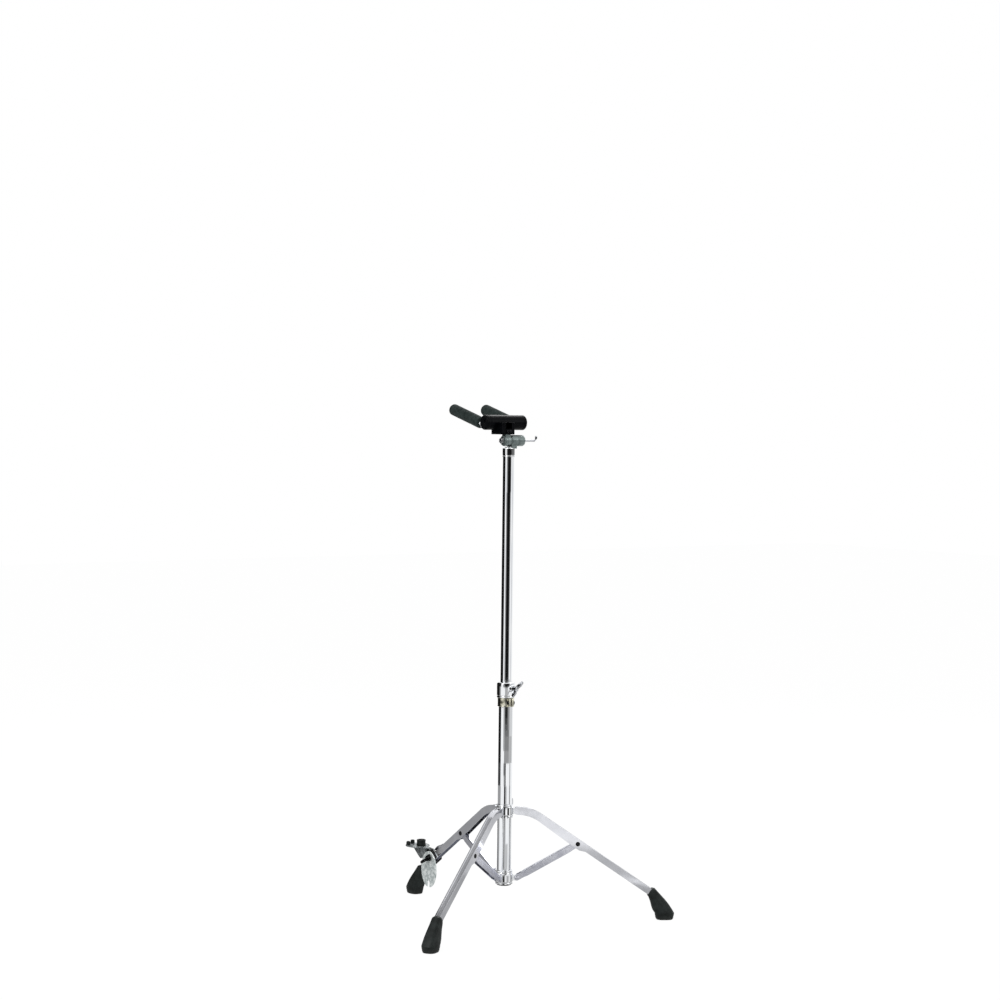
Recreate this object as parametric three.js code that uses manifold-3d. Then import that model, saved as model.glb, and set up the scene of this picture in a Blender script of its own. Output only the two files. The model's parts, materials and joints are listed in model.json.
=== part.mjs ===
import * as THREE from 'three';
import { mergeVertices } from 'three/addons/utils/BufferGeometryUtils.js';
import Module from 'manifold-3d';

// A folding tripod stand for a tall, leaning string instrument.
// Millimetres, +Z up, floor at z = 0. One leg and the padded yoke point to -Y.

const wasm = await Module();
wasm.setup();

// Clearances shared by the whole stand.
const gap = 0.3;
const overrun = 3;

// Facets: how many sides round things get.
const tubeSides = 30;
const smallSides = 14;
const arcSteps = 4;
const padSides = 24;
const hexSides = 6;

// Post: a lower tube, and a thinner mast that slides and turns inside it.
const post = {
  lowerRadius: 15.9,
  upperRadius: 12.7,
  wall: 1.5,
  base: 80,
  lowerLength: 424,
  mastInsert: 150,
  mastExposed: 495,
  plugLip: 2,
  plugDepth: 12,
  glideLength: 25,
  bushDepth: 54,
};

// Two sliding collars carry the legs above and the stays below.
const collar = {
  wall: 3,
  stayHeight: 30,
  legHeight: 28,
  hingeRadius: 28,
  stayHinge: 94,
  spread: 147,
  stayDrop: 13,
  legDrop: 13,
  earRadius: 6.2,
  stayEarThickness: 7,
  bossRadius: 7,
  bossReach: 25,
};

// Channel legs with an arched top, open on the underside.
const leg = {
  width: 14,
  wall: 1.6,
  kneeReach: 30.5,
  linkLength: 153,
  reach: 205,
  rootLobe: 8.5,
  pivotInset: 10,
  pivotDepth: 20,
  footDepth: 14.8,
  pivotLead: 12,
  pivotTail: 10,
  taper: 14,
  bossRadius: 5.6,
  bossHeight: 1.2,
};

// Channel stays that nest inside the legs when the stand is folded.
const stay = {
  wall: 1.3,
  depth: 15,
  endLobe: 6.4,
  webStart: 15,
  taper: 8,
};

const pin = { radius: 2.6, headRadius: 5, headHeight: 1.8, stayHeadRadius: 4.2, stayHeadHeight: 1.4 };

// Rubber boots: a short sleeve on the leg, then a bell down to a level sole.
const boot = {
  grip: 12,
  sleeve: 6,
  topHalfDepth: 10,
  topHalfWidth: 10,
  sleeveHalfDepth: 12,
  sleeveHalfWidth: 12,
  bellHalfDepth: 21.5,
  bellHalfWidth: 17.5,
  bellHeight: 14,
  bellAdvance: 33.7,
  soleShare: 0.84,
  sides: 20,
  squareness: 2.6,
};
const bootBlendShares = [0.5];

// Height clamp on top of the lower tube.
const clamp = {
  seat: 14,
  ringRadius: 18.9,
  ringHeight: 19,
  ringEarDepth: 7.5,
  ringEarWidth: 12,
  ringEarAngle: THREE.MathUtils.degToRad(82),
  slit: 2.4,
  radius: 20,
  height: 33.7,
  chamfer: 2,
  lipHeight: 7,
  bossRadius: 7.5,
  bossReach: 27,
  boltHeight: 21,
  boltAngle: THREE.MathUtils.degToRad(95),
  wingTurn: THREE.MathUtils.degToRad(47),
  screwHead: 4.7,
};

const wing = {
  shaftRadius: 3,
  hubRadius: 6,
  hubLength: 10,
  span: 21,
  rise: 13,
  thickness: 4,
  tipRadius: 5,
};

// Tilter: two hubs side by side with radial teeth between them, pulled together by a lever.
const tilter = {
  collarRadius: 13.7,
  collarHeight: 20,
  tubeSeat: 14,
  neckRadius: 9,
  axisRise: 16,
  hubRadius: 12.3,
  nearReach: 16,
  meshPlane: 1,
  webReach: 16,
  hubRoom: 1.5,
  toothHeight: 0.9,
  toothCount: 16,
  toothInner: 6.5,
  farReach: 38,
  chamfer: 3,
  boreRadius: 3.9,
  shaftRadius: 3.4,
  rodRadius: 2.5,
  rodReach: 74,
  tipRise: 11,
  leverCollarRadius: 6.5,
  leverCollarLength: 5,
  nutRadius: 7,
  nutLength: 6,
};

// Yoke: a black cross block with two padded arms.
const yoke = {
  tongueThickness: 13.5,
  tongueDepth: 17,
  tongueTop: 25,
  barRadius: 16.5,
  barForward: 20,
  barRise: 39.5,
  barHalf: 49,
  saddleNear: 26,
  saddleFar: 8,
  saddleFront: 30,
  saddleBack: 12,
  saddleFloor: 13.4,
  armSpacing: 86,
  armDrop: 8,
  armTilt: THREE.MathUtils.degToRad(15),
  rodRadius: 5,
  rodStart: 9,
  rodEnd: 126,
  nutStart: 19.4,
  nutRadius: 9,
  nutLength: 6,
  padStart: 26,
  padEnd: 142,
  padRadius: 12.8,
  padRound: 6,
  padBore: 102,
  capLength: 4,
  capRound: 3,
  screwRadius: 2,
  screwHead: 3.2,
  screwHeadHeight: 2.6,
  screwDepth: 17,
  screwRise: 20,
  screwSpacing: 7,
};

// Endpin rest on the leg that points to the instrument.
const rest = {
  setback: 62,
  saddleLength: 42,
  saddleWall: 3,
  saddleDrop: 2,
  lugRadius: 6,
  lugRise: 9.5,
  lugWidth: 6,
  boltSetback: 8,
  cheekThickness: 3,
  cheekHalfWidth: 30,
  cheekHalfHeight: 41,
  cheekForward: 5,
  cheekDrop: 26,
  notchWidth: 9,
  notchDepth: 16,
  trayRadius: 28,
  trayThickness: 3,
  trayForward: 54,
  trayRise: 4,
  armWidth: 16,
  gussetWidth: 5,
  gussetDrop: 22,
  gussetForward: 38,
  forkWall: 2.2,
  cupRadius: 11,
  cupHeight: 14,
  cupBore: 6.5,
  cupDepth: 10,
  cupSetback: 15,
  studRadius: 5.2,
  studHeight: 8,
  studTopShare: 0.7,
  studInset: 6.4,
  studAngle: THREE.MathUtils.degToRad(62),
  studCount: 3,
  strapWidth: 9,
  strapThickness: 2,
  strapArch: 6,
  strapLength: 44,
  pinHeadRadius: 6,
  pinHeadHeight: 3,
};

const legAngles = {
  a: THREE.MathUtils.degToRad(-90),
  b: THREE.MathUtils.degToRad(30),
  c: THREE.MathUtils.degToRad(150),
};
const legBoltAngle = THREE.MathUtils.degToRad(210);

// Finishes
const finish = {
  chrome: { color: 0xd9dce0, roughness: 0.12, metalness: 1 },
  steel: { color: 0xb9bdc4, roughness: 0.3, metalness: 1 },
  satin: { color: 0x8b9694, roughness: 0.45, metalness: 0.8 },
  black: { color: 0x17191b, roughness: 0.45, metalness: 0.1 },
  rubber: { color: 0x1b1d1e, roughness: 0.8, metalness: 0 },
  foam: { color: 0x3c4543, roughness: 0.9, metalness: 0 },
  nylon: { color: 0xd8d5c8, roughness: 0.55, metalness: 0 },
  brass: { color: 0x9d9a7c, roughness: 0.35, metalness: 0.9 },
};

const stand = new THREE.Group();

function named(name, geometry, finishName, parent = stand) {
  const mesh = new THREE.Mesh(geometry, new THREE.MeshStandardMaterial(finish[finishName]));
  mesh.name = name;
  parent.add(mesh);
  return mesh;
}

// Solids

function toSolid(geometry) {
  const plain = geometry.clone();
  plain.deleteAttribute('normal');
  plain.deleteAttribute('uv');
  const merged = mergeVertices(plain);
  const place = merged.attributes.position.array;
  const kept = [];
  let volume = 0;
  for (let i = 0; i < merged.index.count; i += 3) {
    const [a, b, c] = [0, 1, 2].map((k) => merged.index.getX(i + k));
    if (a !== b && b !== c && c !== a) {
      kept.push(a, b, c);
      const [p, q, r] = [a, b, c].map((k) => new THREE.Vector3().fromArray(place, 3 * k));
      volume += p.dot(q.cross(r));
    }
  }
  if (volume < 0) kept.reverse();
  const mesh = new wasm.Mesh({
    numProp: 3,
    vertProperties: new Float32Array(place),
    triVerts: new Uint32Array(kept),
  });
  return new wasm.Manifold(mesh);
}

function toGeometry(solid) {
  const mesh = solid.getMesh();
  const geometry = new THREE.BufferGeometry();
  geometry.setAttribute('position', new THREE.BufferAttribute(new Float32Array(mesh.vertProperties), 3));
  geometry.setIndex(new THREE.BufferAttribute(new Uint32Array(mesh.triVerts), 1));
  geometry.computeVertexNormals();
  return geometry;
}

function join(...parts) {
  return toGeometry(parts.map(toSolid).reduce((sum, next) => sum.add(next)));
}

function cut(body, ...tools) {
  return toGeometry(tools.map(toSolid).reduce((left, tool) => left.subtract(tool), toSolid(body)));
}

function block(x0, x1, y0, y1, z0, z1) {
  const box = new THREE.BoxGeometry(x1 - x0, y1 - y0, z1 - z0);
  return box.translate((x0 + x1) / 2, (y0 + y1) / 2, (z0 + z1) / 2);
}

// A closed outline of [radius, height] points turned about Z.
function turned(points, sides = tubeSides) {
  const outline = points.map(([r, z]) => new THREE.Vector2(r, z));
  return new THREE.LatheGeometry(outline, sides).rotateX(Math.PI / 2);
}

function sleeve(inner, outer, z0, z1, sides = tubeSides) {
  return turned([[inner, z0], [outer, z0], [outer, z1], [inner, z1], [inner, z0]], sides);
}

function bar(radius, z0, z1, sides = smallSides) {
  return turned([[0, z0], [radius, z0], [radius, z1], [0, z1]], sides);
}

// Turn something built along Z so that it runs along X or Y.
const alongX = (geometry) => geometry.rotateY(Math.PI / 2);
const alongY = (geometry) => geometry.rotateX(-Math.PI / 2);

// A side view in (radius, height) given width along Y, centred on y = 0.
function sidePlate(shape, width) {
  const depth = { depth: width, bevelEnabled: false, curveSegments: arcSteps };
  return new THREE.ExtrudeGeometry(shape, depth).translate(0, 0, -width / 2).rotateX(Math.PI / 2);
}

function polygon(points) {
  return new THREE.Shape(points.map(([x, y]) => new THREE.Vector2(x, y)));
}

// A crosswise hole or pin through a side plate at (x, z).
function crossBar(radius, width, x, z, sides = smallSides) {
  return alongY(bar(radius, -width / 2, width / 2, sides)).translate(x, 0, z);
}

// A skin through rings of points, closed by a fan at each end.
function loft(rings) {
  const count = rings[0].length;
  const places = rings.flat().flatMap((p) => [p.x, p.y, p.z]);
  const index = [];
  for (let r = 0; r + 1 < rings.length; r += 1) {
    for (let i = 0; i < count; i += 1) {
      const [a, b] = [r * count + i, r * count + (i + 1) % count];
      index.push(a, b, b + count, a, b + count, a + count);
    }
  }
  const last = (rings.length - 1) * count;
  for (let i = 1; i + 1 < count; i += 1) {
    index.push(0, i + 1, i, last, last + i, last + i + 1);
  }
  const geometry = new THREE.BufferGeometry();
  geometry.setAttribute('position', new THREE.Float32BufferAttribute(places, 3));
  geometry.setIndex(index);
  return geometry;
}

// A wing bolt along +X: its tip at x = 0, its hub from x = reach.
function wingBolt(reach) {
  const shaft = alongX(bar(wing.shaftRadius, 0, reach + wing.hubLength / 2));
  const hub = alongX(bar(wing.hubRadius, reach, reach + wing.hubLength));
  const blade = new THREE.Shape();
  const root = reach + wing.tipRadius / 2;
  blade.moveTo(root, 0);
  blade.quadraticCurveTo(root, wing.span / 2, root + wing.rise - wing.tipRadius, wing.span);
  blade.quadraticCurveTo(root + wing.rise, wing.span + wing.tipRadius / 2, root + wing.rise, wing.span / 2);
  blade.lineTo(root + wing.hubLength / 2, 0);
  const depth = { depth: wing.thickness, bevelEnabled: false, curveSegments: arcSteps };
  const upper = new THREE.ExtrudeGeometry(blade, depth).translate(0, 0, -wing.thickness / 2);
  const lower = upper.clone().rotateX(Math.PI);
  return join(shaft, hub, upper, lower);
}

// Places that several pieces share

const lowerTop = post.base + post.lowerLength;
const clampBase = lowerTop - clamp.seat;
const clampTop = clampBase + gap + clamp.height;
const mastBottom = lowerTop - post.mastInsert;
const mastCollarBase = clampTop + post.mastExposed;
const mastTop = mastCollarBase + tilter.tubeSeat;
const tiltHeight = mastCollarBase + tilter.collarHeight + tilter.axisRise;
const collarRadius = post.lowerRadius + collar.wall;
const legHinge = collar.stayHinge + collar.spread;
const pivotHeight = collar.stayHinge + collar.spread / 2;
const pivotRadius = collar.hingeRadius + Math.sqrt(leg.linkLength ** 2 - (collar.spread / 2) ** 2);
const channelInside = leg.width - 2 * leg.wall;
const legEarThickness = channelInside - 2 * gap;
const stayWidth = channelInside - 2 * gap;
const stayInside = stayWidth - 2 * stay.wall;

// The leg's straight run starts at the knee and passes over the pivot.
const archTop = legHinge + leg.rootLobe;
const pivot = new THREE.Vector2(pivotRadius, pivotHeight);
const knee = new THREE.Vector2(collar.hingeRadius + leg.kneeReach, archTop);
const kneeToPivot = pivot.distanceTo(knee);
const slope = Math.atan2(knee.y - pivot.y, pivot.x - knee.x) - Math.asin(leg.pivotInset / kneeToPivot);

// Unit directions of that run: down it, and up out of its web.
const down = new THREE.Vector2(Math.cos(slope), -Math.sin(slope));
const out = new THREE.Vector2(Math.sin(slope), Math.cos(slope));

// A place on the leg: so far down it from the pivot, and so far out of it.
function onLeg(along, away) {
  return pivot.clone().addScaledVector(down, along).addScaledVector(out, away);
}

// Post

const tubeBore = post.lowerRadius - post.wall;

function buildPost() {
  named('lower_tube', sleeve(tubeBore, post.lowerRadius, post.base, lowerTop), 'chrome');
  const plugTop = post.base + post.plugDepth;
  const plugFloor = post.base - gap - post.plugLip;
  const plug = turned([
    [0, plugFloor], [post.lowerRadius, plugFloor], [post.lowerRadius, post.base - gap],
    [tubeBore - gap, post.base - gap], [tubeBore - gap, plugTop], [0, plugTop],
  ], tubeSides);
  named('tube_plug', plug, 'black');
  const mastBore = post.upperRadius - post.wall;
  named('upper_tube', sleeve(mastBore, post.upperRadius, mastBottom, mastTop - gap), 'chrome');
  const glideTop = mastBottom + post.glideLength;
  named('glide_bush', sleeve(post.upperRadius + gap, tubeBore - gap, mastBottom, glideTop), 'nylon');
}

// Collars

function hingeEar(thickness, height, angle) {
  const tab = block(
    collarRadius - collar.wall / 2, collar.hingeRadius,
    -thickness / 2, thickness / 2,
    height - collar.earRadius, height + collar.earRadius,
  );
  const round = crossBar(collar.earRadius, thickness, collar.hingeRadius, height);
  return join(tab, round).rotateZ(angle);
}

function radialBoss(radius, reach, height, angle) {
  const start = collarRadius - collar.wall / 2;
  return alongX(bar(radius, start, reach)).translate(0, 0, height).rotateZ(angle);
}

function hingeCollar(base, height, earThickness, pinHeight) {
  const angles = Object.values(legAngles);
  const ring = sleeve(post.lowerRadius + gap, collarRadius, base, base + height);
  const ears = angles.map((angle) => hingeEar(earThickness, pinHeight, angle));
  const holes = angles.map((angle) => (
    crossBar(pin.radius + gap, earThickness + overrun, collar.hingeRadius, pinHeight).rotateZ(angle)
  ));
  return cut(join(ring, ...ears), ...holes);
}

function buildCollars() {
  const stayBase = collar.stayHinge - collar.stayDrop;
  const stayCollar = hingeCollar(stayBase, collar.stayHeight, collar.stayEarThickness, collar.stayHinge);
  named('stay_collar', stayCollar, 'steel');

  const legBase = legHinge - collar.legDrop;
  const boltHeight = legBase + collar.legHeight / 2;
  const boss = radialBoss(collar.bossRadius, collar.bossReach, boltHeight, legBoltAngle);
  const bore = alongX(bar(wing.shaftRadius + gap, 0, collar.bossReach + overrun));
  const tubeWay = sleeve(0, post.lowerRadius + gap, legBase - overrun, legBase + collar.legHeight + overrun);
  const body = join(hingeCollar(legBase, collar.legHeight, legEarThickness, legHinge), boss);
  named('leg_collar', cut(body, bore.translate(0, 0, boltHeight).rotateZ(legBoltAngle), tubeWay), 'steel');

  const bolt = wingBolt(collar.bossReach - post.lowerRadius);
  bolt.rotateX(Math.PI / 2).translate(post.lowerRadius + gap, 0, boltHeight);
  named('leg_wing_bolt', bolt.rotateZ(legBoltAngle), 'chrome');
}

// Legs and stays, built in the plane of one leg

const archRadius = leg.kneeReach / Math.tan(slope / 2);
const archEnd = Math.PI / 2 - slope;

function legOutline() {
  const shape = new THREE.Shape();
  const [cx, cz] = [collar.hingeRadius, archTop - archRadius];
  const under = leg.pivotInset - leg.pivotDepth;
  const foot = leg.pivotInset - leg.footDepth;
  const lowerArch = archRadius - 2 * leg.rootLobe;
  shape.moveTo(collar.hingeRadius, archTop);
  shape.absarc(cx, cz, archRadius, Math.PI / 2, archEnd, true);
  for (const [along, away] of [
    [leg.reach, leg.pivotInset],
    [leg.reach, foot],
    [leg.pivotTail + leg.taper, foot],
    [leg.pivotTail, under],
    [-leg.pivotLead, under],
  ]) {
    const place = onLeg(along, away);
    shape.lineTo(place.x, place.y);
  }
  shape.lineTo(cx + lowerArch * Math.cos(archEnd), cz + lowerArch * Math.sin(archEnd));
  shape.absarc(cx, cz, lowerArch, archEnd, Math.PI / 2, false);
  shape.absarc(collar.hingeRadius, legHinge, leg.rootLobe, -Math.PI / 2, Math.PI / 2, true);
  return shape;
}

// The space inside the channel, open below and at both ends.
function legInside() {
  const shape = new THREE.Shape();
  const start = collar.hingeRadius - leg.rootLobe - overrun;
  const [cx, cz] = [collar.hingeRadius, archTop - archRadius];
  shape.moveTo(start, archTop - leg.wall);
  shape.lineTo(collar.hingeRadius, archTop - leg.wall);
  shape.absarc(cx, cz, archRadius - leg.wall, Math.PI / 2, archEnd, true);
  const tip = onLeg(leg.reach + overrun, leg.pivotInset - leg.wall);
  const low = onLeg(leg.reach + overrun, leg.pivotInset - leg.pivotDepth - overrun);
  const high = onLeg(-leg.pivotLead, leg.pivotInset - leg.pivotDepth - overrun);
  shape.lineTo(tip.x, tip.y);
  shape.lineTo(low.x, low.y);
  shape.lineTo(high.x, high.y);
  shape.lineTo(start, legHinge - leg.rootLobe - leg.pivotDepth);
  return shape;
}

function buildLegSolid() {
  const outside = sidePlate(legOutline(), leg.width);
  const boss = crossBar(leg.bossRadius, leg.width + 2 * leg.bossHeight, collar.hingeRadius, legHinge);
  const inside = sidePlate(legInside(), channelInside);
  const through = leg.width + 2 * leg.bossHeight + overrun;
  const pivotHole = crossBar(pin.radius + gap, through, pivot.x, pivot.y);
  return cut(join(outside, boss), inside, pivotHole);
}

function buildStaySolid() {
  const start = new THREE.Vector2(collar.hingeRadius, collar.stayHinge);
  const angle = Math.atan2(pivot.y - start.y, pivot.x - start.x);
  const length = leg.linkLength;
  const half = stay.depth / 2;
  const shape = new THREE.Shape();
  const [wideFrom, wideTo] = [stay.webStart + stay.taper, length - stay.webStart - stay.taper];
  shape.moveTo(0, -stay.endLobe);
  shape.lineTo(stay.webStart, -stay.endLobe);
  shape.lineTo(wideFrom, -half);
  shape.lineTo(wideTo, -half);
  shape.lineTo(length - stay.webStart, -stay.endLobe);
  shape.lineTo(length, -stay.endLobe);
  shape.absarc(length, 0, stay.endLobe, -Math.PI / 2, Math.PI / 2, false);
  shape.lineTo(length - stay.webStart, stay.endLobe);
  shape.lineTo(wideTo, half);
  shape.lineTo(wideFrom, half);
  shape.lineTo(stay.webStart, stay.endLobe);
  shape.lineTo(0, stay.endLobe);
  shape.absarc(0, 0, stay.endLobe, Math.PI / 2, -Math.PI / 2, false);
  const inner = polygon([
    [-stay.endLobe - overrun, -half - overrun],
    [length + stay.endLobe + overrun, -half - overrun],
    [length + stay.endLobe + overrun, half + overrun],
    [length - stay.webStart, half + overrun],
    [length - stay.webStart, stay.endLobe - stay.wall],
    [wideTo, half - stay.wall],
    [wideFrom, half - stay.wall],
    [stay.webStart, stay.endLobe - stay.wall],
    [stay.webStart, half + overrun],
    [-stay.endLobe - overrun, half + overrun],
  ]);
  const holes = [0, length].map((x) => crossBar(pin.radius + gap, stayWidth + overrun, x, 0));
  const channel = cut(sidePlate(shape, stayWidth), sidePlate(inner, stayInside), ...holes);
  return channel.rotateY(-angle).translate(start.x, 0, start.y);
}

function rivet(headRadius, headHeight, grip, x, z) {
  const half = grip / 2 + gap;
  const shaft = crossBar(pin.radius, 2 * half + headHeight, x, z);
  const head = turned([
    [0, half], [headRadius, half], [headRadius, half + headHeight / 2],
    [headRadius / 2, half + headHeight], [0, half + headHeight],
  ], smallSides);
  const near = alongY(head.clone()).translate(x, 0, z);
  const far = alongY(head.clone().rotateX(Math.PI)).translate(x, 0, z);
  return join(shaft, near, far);
}

// One ring of a boot: a rounded oblong about a centre in the leg's plane.
function bootRing(centre, across, halfDepth, halfWidth) {
  return Array.from({ length: boot.sides }, (_, i) => {
    const turn = (2 * Math.PI * i) / boot.sides;
    const [c, s] = [Math.cos(turn), Math.sin(turn)];
    const outward = Math.sign(c) * halfDepth * Math.abs(c) ** (2 / boot.squareness);
    const aside = Math.sign(s) * halfWidth * Math.abs(s) ** (2 / boot.squareness);
    return new THREE.Vector3(centre.x + across.x * outward, aside, centre.y + across.y * outward);
  });
}

// Square to the leg at the top, level from the bell down to the sole.
function bootRings() {
  const middle = leg.pivotInset - leg.footDepth / 2;
  const top = onLeg(leg.reach - boot.grip, middle);
  const bell = new THREE.Vector2(top.x + boot.bellAdvance, boot.bellHeight);
  const sole = new THREE.Vector2(bell.x, 0);
  const level = new THREE.Vector2(1, 0);
  const upper = bootRing(top, out, boot.topHalfDepth, boot.topHalfWidth);
  const hem = onLeg(leg.reach - boot.grip + boot.sleeve, middle);
  const lower = bootRing(hem, out, boot.sleeveHalfDepth, boot.sleeveHalfWidth);
  const widest = bootRing(bell, level, boot.bellHalfDepth, boot.bellHalfWidth);
  const between = bootBlendShares.map((share) => (
    lower.map((place, i) => place.clone().lerp(widest[i], share))
  ));
  const floor = bootRing(
    sole, level,
    boot.soleShare * boot.bellHalfDepth, boot.soleShare * boot.bellHalfWidth,
  );
  return [upper, lower, ...between, widest, floor];
}

function buildBootSolid() {
  const socket = new THREE.BoxGeometry(
    boot.grip + overrun + gap,
    leg.width + 2 * gap,
    leg.footDepth + 2 * gap,
  );
  const middle = onLeg(leg.reach + gap - (boot.grip + overrun + gap) / 2, leg.pivotInset - leg.footDepth / 2);
  socket.rotateY(slope).translate(middle.x, 0, middle.y);
  return cut(loft(bootRings()), socket);
}

function buildLegs() {
  const shapes = {
    leg: [buildLegSolid(), 'chrome'],
    stay: [buildStaySolid(), 'steel'],
    foot: [buildBootSolid(), 'rubber'],
    leg_rivet: [rivet(pin.headRadius, pin.headHeight, leg.width, pivot.x, pivot.y), 'black'],
    stay_pin: [
      rivet(pin.stayHeadRadius, pin.stayHeadHeight, stayWidth, collar.hingeRadius, collar.stayHinge),
      'steel',
    ],
    leg_hinge_pin: [crossBar(pin.radius, legEarThickness, collar.hingeRadius, legHinge), 'steel'],
  };
  for (const [letter, angle] of Object.entries(legAngles)) {
    const spoke = new THREE.Group();
    spoke.rotation.z = angle;
    stand.add(spoke);
    for (const [label, [geometry, look]] of Object.entries(shapes)) {
      named(`${label}_${letter}`, geometry.clone(), look, spoke);
    }
  }
}

// Height clamp

function buildClamp() {
  const ringBase = clampBase - clamp.ringHeight;
  const earReach = clamp.ringRadius + clamp.ringEarDepth;
  const ear = block(
    clamp.ringRadius - collar.wall / 2, earReach,
    -clamp.ringEarWidth / 2, clamp.ringEarWidth / 2,
    ringBase, clampBase,
  );
  const slit = block(
    post.lowerRadius, earReach + overrun,
    -clamp.slit / 2, clamp.slit / 2,
    ringBase - overrun, clampBase + overrun,
  );
  const screwAt = clamp.ringRadius + clamp.ringEarDepth / 2;
  const screwHeight = ringBase + clamp.ringHeight / 2;
  const screwWay = crossBar(pin.radius + gap, clamp.ringEarWidth + overrun, screwAt, screwHeight);
  const ring = sleeve(post.lowerRadius + gap, clamp.ringRadius, ringBase, clampBase);
  const bore = sleeve(0, post.lowerRadius + gap, ringBase - overrun, clampBase + overrun);
  const body = cut(join(ring, ear), bore, slit, screwWay).rotateZ(clamp.ringEarAngle);
  named('clamp_ring', body, 'brass');
  const screw = rivet(clamp.screwHead, pin.headHeight, clamp.ringEarWidth, screwAt, screwHeight);
  named('clamp_ring_screw', screw.rotateZ(clamp.ringEarAngle), 'chrome');

  const floor = clampBase + gap;
  const roomTop = clampTop - clamp.lipHeight;
  const shell = turned([
    [post.lowerRadius + gap, floor], [clamp.radius, floor], [clamp.radius, clampTop - clamp.chamfer],
    [clamp.radius - clamp.chamfer, clampTop], [post.upperRadius + gap, clampTop],
    [post.upperRadius + gap, roomTop], [post.lowerRadius + gap, roomTop], [post.lowerRadius + gap, floor],
  ]);
  const boltHeight = floor + clamp.boltHeight;
  const boss = alongX(bar(clamp.bossRadius, clamp.radius - collar.wall / 2, clamp.bossReach));
  const way = alongX(bar(wing.shaftRadius + gap, post.upperRadius, clamp.bossReach + overrun));
  for (const piece of [boss, way]) {
    piece.translate(0, 0, boltHeight).rotateZ(clamp.boltAngle);
  }
  named('clamp_housing', cut(join(shell, boss), way), 'chrome');

  const bushTop = roomTop - gap;
  const bushOuter = post.lowerRadius;
  const bush = turned([
    [post.upperRadius + gap, lowerTop - post.bushDepth], [tubeBore - gap, lowerTop - post.bushDepth],
    [tubeBore - gap, lowerTop + gap], [bushOuter, lowerTop + gap], [bushOuter, bushTop],
    [post.upperRadius + gap, bushTop], [post.upperRadius + gap, lowerTop - post.bushDepth],
  ]);
  named('split_bush', bush, 'nylon');

  const bolt = wingBolt(clamp.bossReach - bushOuter);
  bolt.rotateX(clamp.wingTurn).translate(bushOuter + gap, 0, boltHeight);
  named('clamp_wing_bolt', bolt.rotateZ(clamp.boltAngle), 'chrome');
}

// Tilter

// A ring of radial teeth along X, from the plane x = base to tips at x = base + height.
function toothRing(base, height) {
  const steps = 2 * tilter.toothCount;
  const rings = [
    [tilter.toothInner, -tilter.chamfer, -tilter.chamfer],
    [tilter.hubRadius, -tilter.chamfer, -tilter.chamfer],
    [tilter.hubRadius, 0, height],
    [tilter.toothInner, 0, height],
  ];
  const index = [];
  const places = [];
  for (let i = 0; i < steps; i += 1) {
    const turn = (2 * Math.PI * i) / steps;
    for (const [radius, low, high] of rings) {
      places.push(base + (i % 2 ? high : low), radius * Math.cos(turn), radius * Math.sin(turn));
    }
    for (let k = 0; k < 4; k += 1) {
      const [a, b] = [4 * i + k, 4 * i + (k + 1) % 4];
      const [c, d] = [(a + 4) % (4 * steps), (b + 4) % (4 * steps)];
      index.push(a, b, d, a, d, c);
    }
  }
  const geometry = new THREE.BufferGeometry();
  geometry.setAttribute('position', new THREE.Float32BufferAttribute(places, 3));
  geometry.setIndex(index);
  return geometry;
}

function hexNut(radius, bore, z0, z1) {
  return cut(bar(radius, z0, z1, hexSides), bar(bore, z0 - overrun, z1 + overrun));
}

function buildTilter() {
  const collarTop = mastCollarBase + tilter.collarHeight;
  const neckTop = tiltHeight - tilter.hubRadius - tilter.hubRoom;
  const plinth = turned([
    [0, mastCollarBase], [tilter.collarRadius, mastCollarBase], [tilter.collarRadius, collarTop],
    [tilter.neckRadius, collarTop], [tilter.neckRadius, neckTop], [0, neckTop],
  ]);
  const webEnd = -tilter.meshPlane - tilter.toothHeight;
  const web = block(
    -tilter.webReach, webEnd,
    -tilter.neckRadius, tilter.neckRadius,
    collarTop - tilter.hubRoom, tiltHeight,
  );
  const socket = bar(post.upperRadius + gap, mastCollarBase - overrun, mastTop, tubeSides);
  const hub = alongX(turned([
    [0, -tilter.farReach], [tilter.hubRadius - tilter.chamfer, -tilter.farReach],
    [tilter.hubRadius, -tilter.farReach + tilter.chamfer],
    [tilter.hubRadius, webEnd - tilter.chamfer / 2],
    [0, webEnd - tilter.chamfer / 2],
  ]));
  const teeth = toothRing(webEnd, tilter.toothHeight);
  const bore = alongX(bar(tilter.boreRadius, -tilter.farReach - overrun, overrun));
  const raised = [hub, teeth, bore].map((piece) => piece.translate(0, 0, tiltHeight));
  named('tilter_base', cut(join(plinth, web, raised[0], raised[1]), socket, raised[2]), 'satin');

  const nut = alongX(hexNut(tilter.nutRadius, tilter.shaftRadius + gap, 0, tilter.nutLength));
  named('tilter_nut', nut.translate(tilter.nearReach + gap, 0, tiltHeight), 'chrome');

  const shaft = bar(tilter.shaftRadius, -tilter.farReach - overrun, tilter.nearReach + tilter.nutLength);
  const rod = bar(tilter.rodRadius, -tilter.rodReach, -tilter.farReach);
  const neck = tilter.farReach + gap;
  const knob = turned([
    [0, -neck - tilter.leverCollarLength], [tilter.rodRadius, -neck - tilter.leverCollarLength],
    [tilter.leverCollarRadius, -neck - tilter.leverCollarLength / 2], [tilter.leverCollarRadius, -neck],
    [0, -neck],
  ], smallSides);
  const tip = bar(tilter.rodRadius, -tilter.rodRadius, tilter.tipRise).translate(-tilter.rodReach, 0, 0);
  const lever = join(alongX(shaft), alongX(rod), alongX(knob), tip);
  named('tilter_lever', lever.translate(0, 0, tiltHeight), 'chrome');
}

// Yoke, built about the tilt axis

const toothedFace = -tilter.meshPlane + gap + tilter.toothHeight;
const tongue = {
  middle: (toothedFace + tilter.nearReach) / 2,
  front: tilter.hubRadius - yoke.tongueDepth,
  back: tilter.hubRadius - overrun,
};

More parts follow.
